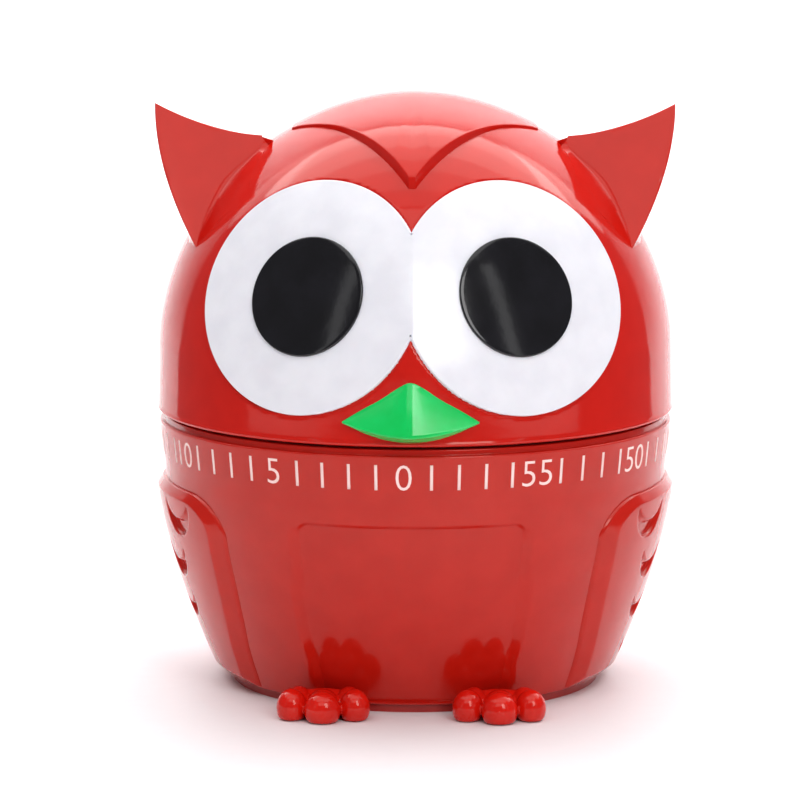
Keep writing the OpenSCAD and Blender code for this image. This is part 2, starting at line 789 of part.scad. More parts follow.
third_back = 180 - 27.5;
module third_wheel() {
  color(brass) translate([third_at[0], third_at[1], 0]) union() {
    translate([0, 0, arbor_z0]) cylinder(r = 0.5, h = arbor_z1 - arbor_z0, $fn = 32);
    translate([0, 0, second_wheel_z - 0.3]) rotate([0, 0, to_gap(third_back, pinion_leaves)])
      gear(module_b, pinion_leaves, 1.4);
    translate([0, 0, third_wheel_z]) rotate([0, 0, to_tooth(escape_turn)])
      spoked_wheel(module_b, third_teeth, 0.7, 0.9, 1.6, 0.4);
  }
}

module escape_wheel() {
  n = escape_teeth;
  color(brass) translate([escape_at[0], escape_at[1], 0]) union() {
    arbor(arbor_z0, arbor_z1, 0.8);
    translate([0, 0, third_wheel_z - 0.3]) rotate([0, 0, to_gap(escape_turn + 180, pinion_leaves)])
      gear(module_b, pinion_leaves, 1.3);
    translate([0, 0, escape_wheel_z]) difference() {
      linear_extrude(height = 0.7) polygon([for (i = [0 : n - 1]) each
        [[3.4 * cos(360 * i / n), 3.4 * sin(360 * i / n)],
          [4.6 * cos(360 * (i + 0.2) / n), 4.6 * sin(360 * (i + 0.2) / n)],
          [4.6 * cos(360 * (i + 0.3) / n), 4.6 * sin(360 * (i + 0.3) / n)],
          [3.4 * cos(360 * (i + 0.75) / n), 3.4 * sin(360 * (i + 0.75) / n)]]]);
      for (i = [0 : 3]) rotate([0, 0, 90 * i + 45]) translate([2.1, 0, -1])
        cylinder(r = 0.7, h = 3, $fn = 24);
    }
  }
}

module pallet_anchor() {
  back = pallet_turn + 180;
  color(steel) translate([pallet_at[0], pallet_at[1], 0]) union() {
    arbor(arbor_z0, arbor_z1, 0.75);
    translate([0, 0, escape_wheel_z - 1]) rotate([0, 0, back]) difference() {
      translate([0, -3.9, 0]) cube([4.3, 7.8, 0.7]);
      translate([6.9, 0, -1]) cylinder(r = 5.3, h = 3, $fn = 48);
    }
    for (side = [-1, 1]) rotate([0, 0, back]) translate([3.1, side * 3.45, escape_wheel_z - 0.4])
      cylinder(r = 0.3, h = 1.3, $fn = 24);
  }
}

module inertia_bar() {
  color(brass) translate([pallet_at[0], pallet_at[1], 20.2]) difference() {
    union() {
      rotate([0, 0, 92]) translate([-4.2, -0.8, 0]) cube([8.4, 1.6, 0.9]);
      for (s = [-1, 1]) rotate([0, 0, 92]) translate([s * 4.2, 0, 0]) cylinder(r = 1.2, h = 0.9, $fn = 32);
      cylinder(r = 1.4, h = 0.9, $fn = 32);
    }
    translate([0, 0, -1]) cylinder(r = 0.76, h = 3, $fn = 32);
  }
}

// ---- bell, hammer and release lever ----
module bell() {
  color(steel) difference() {
    union() {
      ring(bell_radius, bell_radius - 0.8, 4.2, 4.8);
      translate([0, 0, 3.4]) cylinder(r = bell_radius, h = 0.8);
    }
    translate([0, 0, 2]) cylinder(r = 1.35, h = 4, $fn = 32);
  }
}

module bell_post() {
  color(brass) difference() {
    translate([-7, -6, 0]) union() {
      translate([7, 6, 4.25]) cylinder(r = 2.4, h = 3.2, $fn = 32);
      translate([7, 6, 7.4]) rotate([0, 0, 220]) translate([-2.4, -1.8, 0]) cube([10.6, 3.6, 0.8]);
      translate([7, 6, 0]) rotate([0, 0, 220])
        translate([7, -1.8, 7.4]) cube([1.2, 3.6, bottom_plate_z - 7.4]);
    }
    translate([0, 0, 2]) cylinder(r = 1, h = 7, $fn = 32);
  }
}

module bell_screw() {
  color(dark_steel) translate([0, 0, 3.35]) screw(0.98, 2.2, 3.6, 0.9);
}

hammer_arm_turn = 235;
hammer_arm = 10;
module hammer() {
  color(steel) translate([hammer_at[0], hammer_at[1], 0]) union() {
    translate([0, 0, 9]) cylinder(r = 0.5, h = arbor_z1 - 9, $fn = 32);
    translate([0, 0, 12.2]) cylinder(r = 0.9, h = 11.5, $fn = 32);
    translate([0, 0, 9.3]) cylinder(r = 1.5, h = 1, $fn = 32);
    rotate([0, 0, hammer_arm_turn]) {
      translate([0, -0.6, 9.3]) cube([hammer_arm, 1.2, 0.7]);
      translate([hammer_arm, 0, 6.6]) cylinder(r = 1.5, h = 3.4, $fn = 32);
    }
    // tail beside the striker star, and finger beside the lever's catch
    rotate([0, 0, -15.3]) translate([0, -0.5, 14.6]) cube([6.9, 1, 0.8]);
    rotate([0, 0, 243]) translate([0, -0.5, 21.2]) cube([6.6, 1, 0.8]);
  }
}

module lever_pivot() {
  color(steel) translate([lever_at[0], lever_at[1], 0]) union() {
    translate([0, 0, top_plate_z + 0.02]) cylinder(r = 0.78, h = 2.6, $fn = 32);
    translate([0, 0, 26.62]) cylinder(r = 1.3, h = 0.4, $fn = 32);
  }
}

module release_lever() {
  color(steel) translate([lever_at[0], lever_at[1], 25.5]) difference() {
    union() {
      cylinder(r = 1.9, h = 1, $fn = 32);
      rotate([0, 0, 45]) translate([0, -0.7, 0]) cube([8, 1.4, 1]);
      rotate([0, 0, 45]) translate([8, 0, 0]) cylinder(r = 0.8, h = 1, $fn = 32);
      rotate([0, 0, 102]) translate([0, -0.7, 0]) cube([6.6, 1.4, 1]);
      rotate([0, 0, 102]) translate([6.6, 0, -4.8]) cylinder(r = 0.7, h = 5.8, $fn = 32);
    }
    translate([0, 0, -1]) cylinder(r = 0.84, h = 3, $fn = 32);
  }
}

body_shell();
wing_left();
wing_right();
foot_left();
foot_right();
base_cover();
base_screws();
deck_ring();
deck_screws();
bottom_plate();
top_plate();
plate_pillars();
plate_nuts();
mainspring();
bell();
bell_post();
bell_screw();
stop_post();
lever_pivot();
head_shell();
ear_left();
ear_right();
eye_plate();
pupil_left();
pupil_right();
beak();
drive_hub();
main_arbor();
main_wheel();
ratchet_wheel();
click();
cam_disc();
stop_arm();
second_wheel();
striker_star();
third_wheel();
escape_wheel();
pallet_anchor();
inertia_bar();
hammer();
release_lever();
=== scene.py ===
import math

import bmesh
import bpy
import numpy as np
from mathutils import Matrix, Vector


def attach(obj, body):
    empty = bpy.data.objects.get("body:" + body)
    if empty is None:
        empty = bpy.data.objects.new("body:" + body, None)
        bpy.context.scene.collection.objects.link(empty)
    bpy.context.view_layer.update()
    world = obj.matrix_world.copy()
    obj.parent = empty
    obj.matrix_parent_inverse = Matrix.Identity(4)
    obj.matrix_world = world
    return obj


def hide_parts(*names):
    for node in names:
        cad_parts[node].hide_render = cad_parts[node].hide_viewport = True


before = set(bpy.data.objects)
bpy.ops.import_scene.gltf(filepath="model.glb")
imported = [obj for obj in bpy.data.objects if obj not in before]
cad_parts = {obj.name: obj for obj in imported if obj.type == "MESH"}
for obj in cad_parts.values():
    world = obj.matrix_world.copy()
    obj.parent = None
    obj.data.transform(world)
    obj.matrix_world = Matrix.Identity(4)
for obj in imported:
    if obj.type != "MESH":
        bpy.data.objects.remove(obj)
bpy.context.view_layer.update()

# An owl-shaped kitchen timer. Lengths are in millimetres until a mesh is made, and the front is -Y.
MM = 0.001
FRONT = -math.pi / 2


# ---- meshes ----

def quads(rows, cols, wrap=False, first=0):
    """Faces of a grid of points stored row by row. wrap joins the last column to the first."""
    i, j = np.meshgrid(np.arange(rows - 1), np.arange(cols if wrap else cols - 1), indexing="ij")
    a = first + i * cols + j
    b = first + i * cols + (j + 1) % cols
    return np.stack([a, b, b + cols, a + cols], -1).reshape(-1, 4).tolist()


def fan(row_start, cols, centre, flip=False):
    """Triangles from a closed row of points to one point."""
    faces = [(row_start + j, row_start + (j + 1) % cols, centre) for j in range(cols)]
    return [f[::-1] for f in faces] if flip else faces


def capped(rows, cols):
    """Faces of closed rings, with the first and last ring each drawn to a point stored after the rings."""
    return (quads(rows, cols, wrap=True) + fan(0, cols, rows * cols)
            + fan((rows - 1) * cols, cols, rows * cols + 1))


def tube(rows, cols):
    """Faces of closed rings of cols points, with a flat face on the first and the last ring."""
    return quads(rows, cols, wrap=True) + [tuple(range(cols)),
                                           tuple((rows - 1) * cols + k for k in range(cols))[::-1]]


def add_piece(name, points, faces, material, body, replaces=(), merge=0.0, crease=None):
    """A smooth mesh piece from points in mm. It rides on a body and stands for the named CAD nodes."""
    mesh = bpy.data.meshes.new(name)
    mesh.from_pydata((np.asarray(points, float) * MM).tolist(), [], faces)
    bm = bmesh.new()
    bm.from_mesh(mesh)
    if merge:
        bmesh.ops.remove_doubles(bm, verts=bm.verts, dist=merge * MM)
    bmesh.ops.recalc_face_normals(bm, faces=bm.faces)
    bm.to_mesh(mesh)
    bm.free()
    mesh.shade_smooth()
    if crease:
        mesh.set_sharp_from_angle(angle=math.radians(crease))
    mesh.materials.append(material)
    piece = bpy.data.objects.new(name, mesh)
    bpy.context.scene.collection.objects.link(piece)
    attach(piece, body)
    if replaces:
        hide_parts(*replaces)
    return piece


def steps(*stops):
    """Values from (start, step) pairs and a last end. Each stretch has equal steps near the asked size."""
    values = [stops[0][0]]
    ends = [s[0] if isinstance(s, tuple) else s for s in stops[1:]]
    for (start, size), end in zip(stops, ends):
        count = max(1, round(abs(end - start) / size))
        values += [start + (end - start) * k / count for k in range(1, count + 1)]
    return np.array(values)


def smooth(t):
    """0 below 0, 1 above 1, and a soft S between."""
    t = np.clip(t, 0, 1)
    return t * t * (3 - 2 * t)


def curve_through(points, per_span):
    """A smooth open curve through points, per_span steps for each span."""
    p = np.asarray(points, float)
    p = np.vstack([2 * p[0] - p[1], p, 2 * p[-1] - p[-2]])
    out = []
    for i in range(1, len(p) - 2):
        a, b, c, d = p[i - 1:i + 3]
        for t in np.arange(per_span) / per_span:
            out.append(0.5 * (2 * b + (c - a) * t + (2 * a - 5 * b + 4 * c - d) * t ** 2
                              + (3 * b - a - 3 * c + d) * t ** 3))
    return np.array(out + [p[-2]])


# ---- materials ----

# scales are in cells per metre, widths in cells, depths in mm
WORN_SCALE = 150.0
HAIR_SCALE, HAIR_WIDTH, HAIR_DEPTH = 420.0, 0.012, 0.002
HAIR_SLANT, HAIR_STRETCH = (0.5, 0.9, 0.3), (1.0, 0.12, 1.0)
# how far red, green and blue light spread inside the plastic, in metres
GLOW_DEPTH = (0.0024, 0.0006, 0.0004)


def node(tree, kind, **inputs):
    """A new shader node with its inputs set. An underscore in a keyword stands for a space."""
    n = tree.nodes.new(kind)
    for key, value in inputs.items():
        n.inputs[key.replace("_", " ")].default_value = value
    return n


def remap(tree, source, low, high, to_low=0.0, to_high=1.0):
    """A value moved from one range to another."""
    n = node(tree, "ShaderNodeMapRange", From_Min=low, From_Max=high, To_Min=to_low, To_Max=to_high)
    tree.links.new(source, n.inputs["Value"])
    return n.outputs[0]


def combine(tree, operation, *values):
    """A math node. Each value is a socket or a plain number."""
    n = tree.nodes.new("ShaderNodeMath")
    n.operation = operation
    for socket, value in zip(n.inputs, values):
        if isinstance(value, bpy.types.NodeSocket):
            tree.links.new(value, socket)
        else:
            socket.default_value = value
    return n.outputs[0]


def two_tones(tree, source, low, high, dark, light):
    """A colour that goes from dark to light between two values of the source."""
    ramp = tree.nodes.new("ShaderNodeValToRGB")
    for stop, place, colour in zip(ramp.color_ramp.elements, (low, high), (dark, light)):
        stop.position, stop.color = place, colour
    tree.links.new(source, ramp.inputs["Fac"])
    return ramp.outputs["Color"]


def srgb(code):
    """Linear colour of a #rrggbb code."""
    channels = [int(code[i:i + 2], 16) / 255 for i in (1, 3, 5)]
    return [c / 12.92 if c <= 0.04045 else ((c + 0.055) / 1.055) ** 2.4 for c in channels] + [1.0]


def surface(name, dark, light, roughness, metal=0.0, patch=260.0, peel=900.0, peel_depth=0.006,
            scratches=0.35, subsurface=0.0, specular=0.5, tint=(1, 1, 1, 1), stretch=(1, 1, 1)):
    """Moulded or machined surface: drifting colour, uneven gloss, faint waviness and hairline scratches.

    patch and peel are the scales of the drift and of the waviness. stretch packs both closer along an axis.
    """
    material = bpy.data.materials.new(name)
    material.use_nodes = True
    tree = material.node_tree
    tree.nodes.clear()
    out = tree.nodes.new("ShaderNodeOutputMaterial")
    shader = node(tree, "ShaderNodeBsdfPrincipled", Metallic=metal, Specular_IOR_Level=specular,
                  Specular_Tint=tint, Subsurface_Weight=subsurface, Subsurface_Radius=GLOW_DEPTH,
                  Subsurface_Scale=1.0)
    tree.links.new(shader.outputs[0], out.inputs[0])
    place = tree.nodes.new("ShaderNodeTexCoord")

    def mapped(**inputs):
        n = node(tree, "ShaderNodeMapping", **inputs)
        tree.links.new(place.outputs["Object"], n.inputs["Vector"])
        return n.outputs[0]

    stretched = mapped(Scale=stretch)

    def noise(scale, detail, rough=0.5):
        n = node(tree, "ShaderNodeTexNoise", Scale=scale, Detail=detail, Roughness=rough)
        tree.links.new(stretched, n.inputs["Vector"])
        return n.outputs["Fac"]

    colour = two_tones(tree, noise(patch, 3), 0.35, 0.65, srgb(dark), srgb(light))
    tree.links.new(colour, shader.inputs["Base Color"])
    # hairlines: the edges of a long cell pattern, shown only in worn patches
    cells = node(tree, "ShaderNodeTexVoronoi", Scale=HAIR_SCALE, Randomness=1.0)
    cells.feature = "DISTANCE_TO_EDGE"
    tree.links.new(mapped(Rotation=HAIR_SLANT, Scale=HAIR_STRETCH), cells.inputs["Vector"])
    hair = remap(tree, cells.outputs["Distance"], 0.0, HAIR_WIDTH, 1.0, 0.0)
    worn = noise(WORN_SCALE, 4, 0.65)
    shown = combine(tree, "MULTIPLY", hair, remap(tree, worn, 0.5, 0.75))
    gloss = remap(tree, worn, 0.3, 0.7, roughness * 0.92, roughness * 1.1)
    tree.links.new(combine(tree, "MULTIPLY_ADD", shown, scratches * 0.25, gloss), shader.inputs["Roughness"])
    # waviness of the surface, then the scratches
    wave = node(tree, "ShaderNodeBump", Strength=1.0, Distance=peel_depth * MM)
    tree.links.new(noise(peel, 2), wave.inputs["Height"])
    cut = node(tree, "ShaderNodeBump", Strength=scratches, Distance=HAIR_DEPTH * MM)
    cut.invert = True
    tree.links.new(shown, cut.inputs["Height"])
    tree.links.new(wave.outputs[0], cut.inputs["Normal"])
    tree.links.new(cut.outputs[0], shader.inputs["Normal"])
    return material


WARM = {"subsurface": 0.06, "specular": 0.42, "tint": (1.0, 0.94, 0.84, 1.0)}
HEAD_RED = surface("head_plastic", "#c4160d", "#c9180f", 0.08, **WARM)
BODY_RED = surface("body_plastic", "#bc190e", "#c21c11", 0.12, **WARM)
TOE_RED = surface("toe_plastic", "#cf150a", "#d6180c", 0.08, **WARM)
WHITE = surface("eye_plastic", "#e9e8ef", "#f0eff5", 0.16, subsurface=0.05)
BLACK = surface("pupil_plastic", "#0c0b0f", "#131217", 0.10)
GREEN = surface("beak_plastic", "#04c455", "#0ad062", 0.14, subsurface=0.08)
PRINT = surface("scale_print", "#ffd8d2", "#ffe2dd", 0.35)
BRASS = surface("brass", "#b98c3c", "#d8b260", 0.24, metal=1.0, patch=420.0, peel=2600.0, peel_depth=0.004,
                scratches=0.8, stretch=(1, 6, 1))
STEEL = surface("steel", "#9fa1a4", "#c3c5c8", 0.22, metal=1.0, patch=500.0, peel=3200.0, peel_depth=0.003,
                scratches=0.9, stretch=(5, 1, 1))
DARK_STEEL = surface("dark_steel", "#3c3e42", "#5d6065", 0.30, metal=1.0, patch=380.0, peel=2400.0,
                     peel_depth=0.004, scratches=0.9, stretch=(1, 1, 5))
INNER_RED = surface("inner_plastic", "#a3211b", "#ab261f", 0.32, peel=1400.0, peel_depth=0.012,
                    subsurface=0.05)

CAD_LOOKS = {
    INNER_RED: ["base_cover", "deck_ring", "drive_hub"],
    BRASS: ["bottom_plate", "top_plate", "main_wheel", "second_wheel", "third_wheel", "escape_wheel",
            "inertia_bar"],
    STEEL: ["plate_pillars", "bell", "stop_post", "lever_pivot", "main_arbor", "ratchet_wheel", "click",
            "cam_disc", "stop_arm", "striker_star", "pallet_anchor", "hammer", "release_lever", "bell_post"],
    DARK_STEEL: ["base_screws", "deck_screws", "plate_nuts", "mainspring", "bell_screw"],
}
for look, names in CAD_LOOKS.items():
    for name in names:
        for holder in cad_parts[name].material_slots:
            holder.material = look

# ---- the two round shells ----
# above its waist the head is a superellipse of revolution, and below it flares a little
HEAD_R, WAIST_Z, DOME_H, DOME_P, DOME_Q = 31.81, 42.0, 30.62, 1.849, 2.066
FLARE, FLARE_H = 0.165, 8.1
LIP_Z, WALL = 33.9, 1.8
BELLY_R, FOOT_R, TAPER_Z, TAPER_POWER = 31.15, 23.0, 27.0, 1.55
BODY_LIP_R, BODY_LIP_Z, SHELL_Z = 31.75, 32.8, 1.05


def dome_radius(z):
    """Radius of the head's outside at a height."""
    t = np.clip((np.asarray(z, float) - WAIST_Z) / DOME_H, 0, 1)
    low = np.clip((WAIST_Z - np.asarray(z, float)) / FLARE_H, 0, None)
    return HEAD_R * (1 - t ** DOME_P) ** (1 / DOME_Q) + FLARE * low ** 2


def dome_height(r):
    """Height of the head's outside over a distance from its axis."""
    t = np.clip(np.asarray(r, float) / HEAD_R, 0, 1)
    return WAIST_Z + DOME_H * (1 - t ** DOME_Q) ** (1 / DOME_P)


def dome_points(cut, angles):
    """(r, z) points of the dome at angles above the waist. cut is 0 outside and the wall inside."""
    return [((HEAD_R - cut) * math.cos(a) ** (2 / DOME_Q),
             WAIST_Z + (DOME_H - cut) * math.sin(a) ** (2 / DOME_P)) for a in angles]


def body_radius(z):
    """Radius of the body's outside at a height."""
    z = np.asarray(z, float)
    low = BELLY_R - (BELLY_R - FOOT_R) * np.clip((TAPER_Z - z) / TAPER_Z, 0, None) ** TAPER_POWER
    high = BELLY_R + (BODY_LIP_R - BELLY_R) * (z - TAPER_Z) / (BODY_LIP_Z - TAPER_Z)
    # the two meet in a short soft bend
    return np.where(z < TAPER_Z, low, high) - 0.03 * np.exp(-((z - TAPER_Z) / 1.1) ** 2)


def around(profile, angles):
    """Points of a profile of (r, z) turned through angles."""
    p = np.asarray(profile, float)
    r, z = p[:, :1], p[:, 1:]
    return np.stack([r * np.cos(angles), r * np.sin(angles), np.broadcast_to(z, (len(p), len(angles)))], -1)


def arc(centre_r, centre_z, radius, start, end, count):
    """(r, z) points of a rounded edge, angles in degrees."""
    a = np.radians(np.linspace(start, end, count))
    return [(centre_r + radius * math.cos(t), centre_z + radius * math.sin(t)) for t in a]


# ---- eyes: each has its own axis, seen along local z ----
EYE_R, EYE_AT, EYE_TURN, EYE_TILT = 14.4, (11.7, -23.94, 50.65), 25.85, 20.65
EYE_CURVE, EYE_THICK, EYE_PROUD = 55.0, 1.4, 0.36
EYE_BULGE = EYE_CURVE - math.sqrt(EYE_CURVE ** 2 - EYE_R ** 2)
EYE_TO_WORLD = np.array((Matrix.Rotation(math.radians(EYE_TURN), 3, "Z")
                         @ Matrix.Rotation(math.radians(90 - EYE_TILT), 3, "X")))


def eye_world(points):
    """World places of points given in the right eye's own axes."""
    return np.asarray(points) @ EYE_TO_WORLD.T + np.array(EYE_AT)


def eye_local(points):
    """The right eye's own axes for points given in the world."""
    return (np.asarray(points) - np.array(EYE_AT)) @ EYE_TO_WORLD


def lens(r, rise=0.0):
    """Local height of the eye's face, or of a sheet that lies rise above it."""
    return np.sqrt((EYE_CURVE + rise) ** 2 - np.asarray(r) ** 2) - (EYE_CURVE - EYE_BULGE)


def sink_for_eyes(points, depth, edge):
    """Presses a surface down behind both eyes, within a radius of edge, to depth under the eye's face."""
    pts = points.reshape(-1, 3).copy()
    for side in (-1, 1):
        local = eye_local(pts * [side, 1, 1])
        r = np.hypot(local[:, 0], local[:, 1])
        floor = lens(np.minimum(r, EYE_R), -depth)
        push = smooth((edge - r) / 0.5) * np.clip(local[:, 2] - floor, 0, None)
        # the far side of the head lies on the eye's axis too, and is left alone
        near = (local[:, 2] > -8) & (r < edge)
        local[near, 2] -= push[near]
        pts[near] = (eye_world(local) * [side, 1, 1])[near]
    return pts.reshape(points.shape)


def build_head():
    # finer over the face, 64 degrees to either side
    angles = FRONT + np.radians(np.concatenate([steps((-64, 0.75), 64), steps((64, 2.0), 296)[1:-1]]))
    cols = len(angles)
    inner_round, outer_round = 0.3, 0.4
    lip_r = float(dome_radius(LIP_Z))
    outer = [(float(dome_radius(z)), z) for z in steps((LIP_Z + outer_round + 0.02, 0.45), WAIST_Z)]
    outer += dome_points(0, np.radians(steps((0, 0.85), (76, 1.6), 89))[1:])
    lip = arc(lip_r - WALL + inner_round, LIP_Z + inner_round, inner_round, 180, 270, 5)
    lip += arc(lip_r - outer_round, LIP_Z + outer_round, outer_round, 270, 360, 7)
    inner = dome_points(WALL, np.radians(steps((89, 2.0), 0))) + [(HEAD_R - WALL + 0.01, WAIST_Z - 4)]
    inside = sink_for_eyes(around(inner, angles), EYE_THICK + 1.6, EYE_R + 1.3)
    outside = sink_for_eyes(around(outer, angles), EYE_THICK + 0.06, EYE_R - 0.1)
    grid = np.concatenate([inside, around(lip, angles), outside])
    rows = len(grid)
    points = grid.reshape(-1, 3).tolist() + [[0, 0, WAIST_Z + DOME_H - WALL], [0, 0, WAIST_Z + DOME_H]]
    add_piece("head_dome", points, capped(rows, cols), HEAD_RED, "head", ["head_shell"])


# ---- brow: a low cap with a pointed front and a round back ----
BROW_TIP, BROW_HALF, BROW_END, BROW_NOSE = -22.35, 15.1, -3.45, 0.42
BROW_SUNK, BROW_BACK_RISE, CROWN_RISE, BROW_BEND = 0.9, 0.26, 0.7, 0.11
# height of the cap's edge over the dome, by distance from the middle
BROW_EDGE = [(0.0, 1.5), (2.3, 1.5), (4.5, 1.25), (6.8, 0.95), (9.0, 0.68), (11.0, 0.45), (13.0, 0.32),
             (BROW_HALF, BROW_BACK_RISE)]


def build_brow():
    side = np.column_stack([np.linspace(BROW_NOSE, BROW_HALF, 90), np.linspace(BROW_TIP, BROW_END, 90)])
    turn = np.radians(np.linspace(0, 180, 91))
    back = np.column_stack([BROW_HALF * np.cos(turn), BROW_END + BROW_HALF * np.sin(turn)])
    nose = np.column_stack([np.linspace(-BROW_NOSE, BROW_NOSE, 7), np.full(7, BROW_TIP)])
    outline = np.vstack([side, back[1:-1], side[::-1] * [-1, 1], nose[1:-1]])
    ahead, behind = np.roll(outline, -1, 0), np.roll(outline, 1, 0)
    inward = np.stack([-(ahead - behind)[:, 1], (ahead - behind)[:, 0]], -1)
    inward /= np.linalg.norm(inward, axis=1, keepdims=True)
    rise = np.interp(np.abs(outline[:, 0]), *zip(*BROW_EDGE))
    rise = np.where(outline[:, 1] < BROW_END, rise, BROW_BACK_RISE)
    centre = np.array([0.0, BROW_END - 2.0])

    def ring(plan, lift):
        return np.column_stack([plan, dome_height(np.hypot(plan[:, 0], plan[:, 1])) + lift])

    rings = [ring(outline * t + centre * (1 - t), -BROW_SUNK) for t in np.linspace(0, 1, 16)[1:]]
    rings += [ring(outline, -0.02), ring(outline, rise * 0.35), ring(outline, rise * 0.7)]
    for a in np.radians([0, 30, 60, 90]):
        bent = outline + inward * BROW_BEND * (1 - math.cos(a))
        rings.append(ring(bent, rise - BROW_BEND * (1 - math.sin(a))))
    edge = outline + inward * BROW_BEND
    for t in np.concatenate([[0.01], np.linspace(0, 1, 46)[1:-1]]):
        lift = CROWN_RISE + (rise - CROWN_RISE) * (1 - smooth(t / 0.9))
        rings.append(ring(edge + (centre - edge) * t, lift))
    middle = float(dome_height(np.hypot(*centre)))
    points = np.concatenate(rings).tolist()
    points += [[*centre, middle - BROW_SUNK], [*centre, middle + CROWN_RISE]]
    faces = capped(len(rings), len(outline))
    add_piece("brow_cap", points, faces, HEAD_RED, "head", crease=35)


# ---- eye plate and pupils ----

def directions(step):
    """Unit vectors all round, step degrees apart."""
    turns = np.radians(np.arange(0, 360, step))
    return np.stack([np.cos(turns), np.sin(turns)], -1)


def build_eye_plate():
    unit = directions(1.25)
    count = len(unit)

    def reach(height_of, limit):
        """Largest radius along each direction that stays on the eye's own side of the middle, by halving."""
        lo, hi = np.zeros(count), np.full(count, limit)
        for _ in range(50):
            mid = (lo + hi) / 2
            x = eye_world(np.column_stack([unit * mid[:, None], height_of(mid)]))[:, 0]
            lo, hi = np.where(x > 0, mid, lo), np.where(x > 0, hi, mid)
        return hi

    def top(r):
        return lens(r, EYE_PROUD)

    def under(r):
        return lens(r, -EYE_THICK)

    # roll is the radius of the rounded rim; cut marks the directions that meet the other eye first
    roll = 0.2
    top_reach, low_reach = reach(top, EYE_R), reach(under, EYE_R)
    cut = top_reach < EYE_R - 1e-6
    face_r = np.where(cut, top_reach, EYE_R - roll)

    def ring(r, z):
        return eye_world(np.column_stack([unit * r[:, None], z]))

    rings = [ring(face_r * t, top(face_r * t)) for t in np.linspace(0, 1, 30)[1:]]
    top_edge, low_edge = ring(top_reach, top(top_reach)), ring(low_reach, under(low_reach))
    bends = [(roll * math.sin(a), -roll * (1 - math.cos(a))) for a in np.radians([22.5, 45, 67.5, 90])]
    walls = bends + [(roll, -roll - 0.45), (roll, -roll - 0.9)]
    for k, (out, down) in enumerate(walls, 1):
        rolled = ring(EYE_R - roll + np.full(count, out), top(np.full(count, EYE_R - roll)) + down)
        flat = top_edge + (low_edge - top_edge) * k / (len(walls) + 1)
        rings.append(np.where(cut[:, None], flat, rolled))
    rings.append(low_edge)
    rings += [ring(low_reach * t, under(low_reach * t)) for t in (0.8, 0.6, 0.4, 0.2)]
    points = np.concatenate(rings + [eye_world([[0, 0, top(0.0)], [0, 0, under(0.0)]])])
    points[np.abs(points[:, 0]) < 1e-4, 0] = 0.0
    both = np.concatenate([points * [-1, 1, 1], points])
    # the wall where the two eyes meet would be inside the plate, so it goes
    middle = np.abs(both[:, 0]) < 1e-6
    faces = [[start + v for v in f] for start in (0, len(points)) for f in capped(len(rings), count)]
    faces = [f for f in faces if not all(middle[f])]
    add_piece("eye_face", both, faces, WHITE, "head", ["eye_plate"], merge=0.001, crease=32)


PUPIL_R, PUPIL_ROLL, PUPIL_LOW, PUPIL_HIGH = 7.3, 0.16, 0.02, 0.34
PUPIL_OFFSET = np.array([-0.2, -0.35])


def build_pupil(side, name):
    unit = directions(2.5)

    def ring(r, rise):
        xy = PUPIL_OFFSET + unit * r
        return eye_world(np.column_stack([xy, lens(np.hypot(xy[:, 0], xy[:, 1]), EYE_PROUD) + rise]))

    flat_r = PUPIL_R - PUPIL_ROLL
    rings = [ring(flat_r * t - 0.001, PUPIL_HIGH) for t in np.linspace(0, 1, 22)[1:]]
    rings += [ring(flat_r + PUPIL_ROLL * math.sin(a), PUPIL_HIGH - PUPIL_ROLL * (1 - math.cos(a)))
              for a in np.radians([18, 36, 54, 72, 90])]
    rings += [ring(PUPIL_R * t, PUPIL_LOW) for t in (1.0, 0.75, 0.5, 0.25)]
    middle = lens(np.hypot(*PUPIL_OFFSET), EYE_PROUD)
    ends = [[*PUPIL_OFFSET, middle + PUPIL_HIGH], [*PUPIL_OFFSET, middle + PUPIL_LOW]]
    points = np.concatenate(rings + [eye_world(ends)]) * [side, 1, 1]
    add_piece(name, points, capped(len(rings), len(unit)), BLACK, "head",
              ["pupil_right" if side > 0 else "pupil_left"])


# ---- beak ----
# seen from the front: the half width, the top with its slopes and how soft their corner is, the front's lower
# edge and the bottom, and how far these two rise towards the ends
BEAK_HALF, BEAK_TOP, BEAK_SLOPE, BEAK_SOFT = 8.1, 42.048, 0.64, 0.49
BEAK_LOW, BEAK_LOW_RISE, BEAK_BOTTOM, BEAK_BOTTOM_RISE = 35.3, 1.4, 34.4, 2.3
# the face: its y at height 0, how it falls back sideways and upwards, the ridge's softness, the edge's radius
BEAK_FACE_Y, BEAK_FALL, BEAK_LEAN, BEAK_RIDGE, BEAK_EDGE = -47.0, 0.333, 0.357, 0.3, 0.14
BEAK_BACK_Y = -29.4


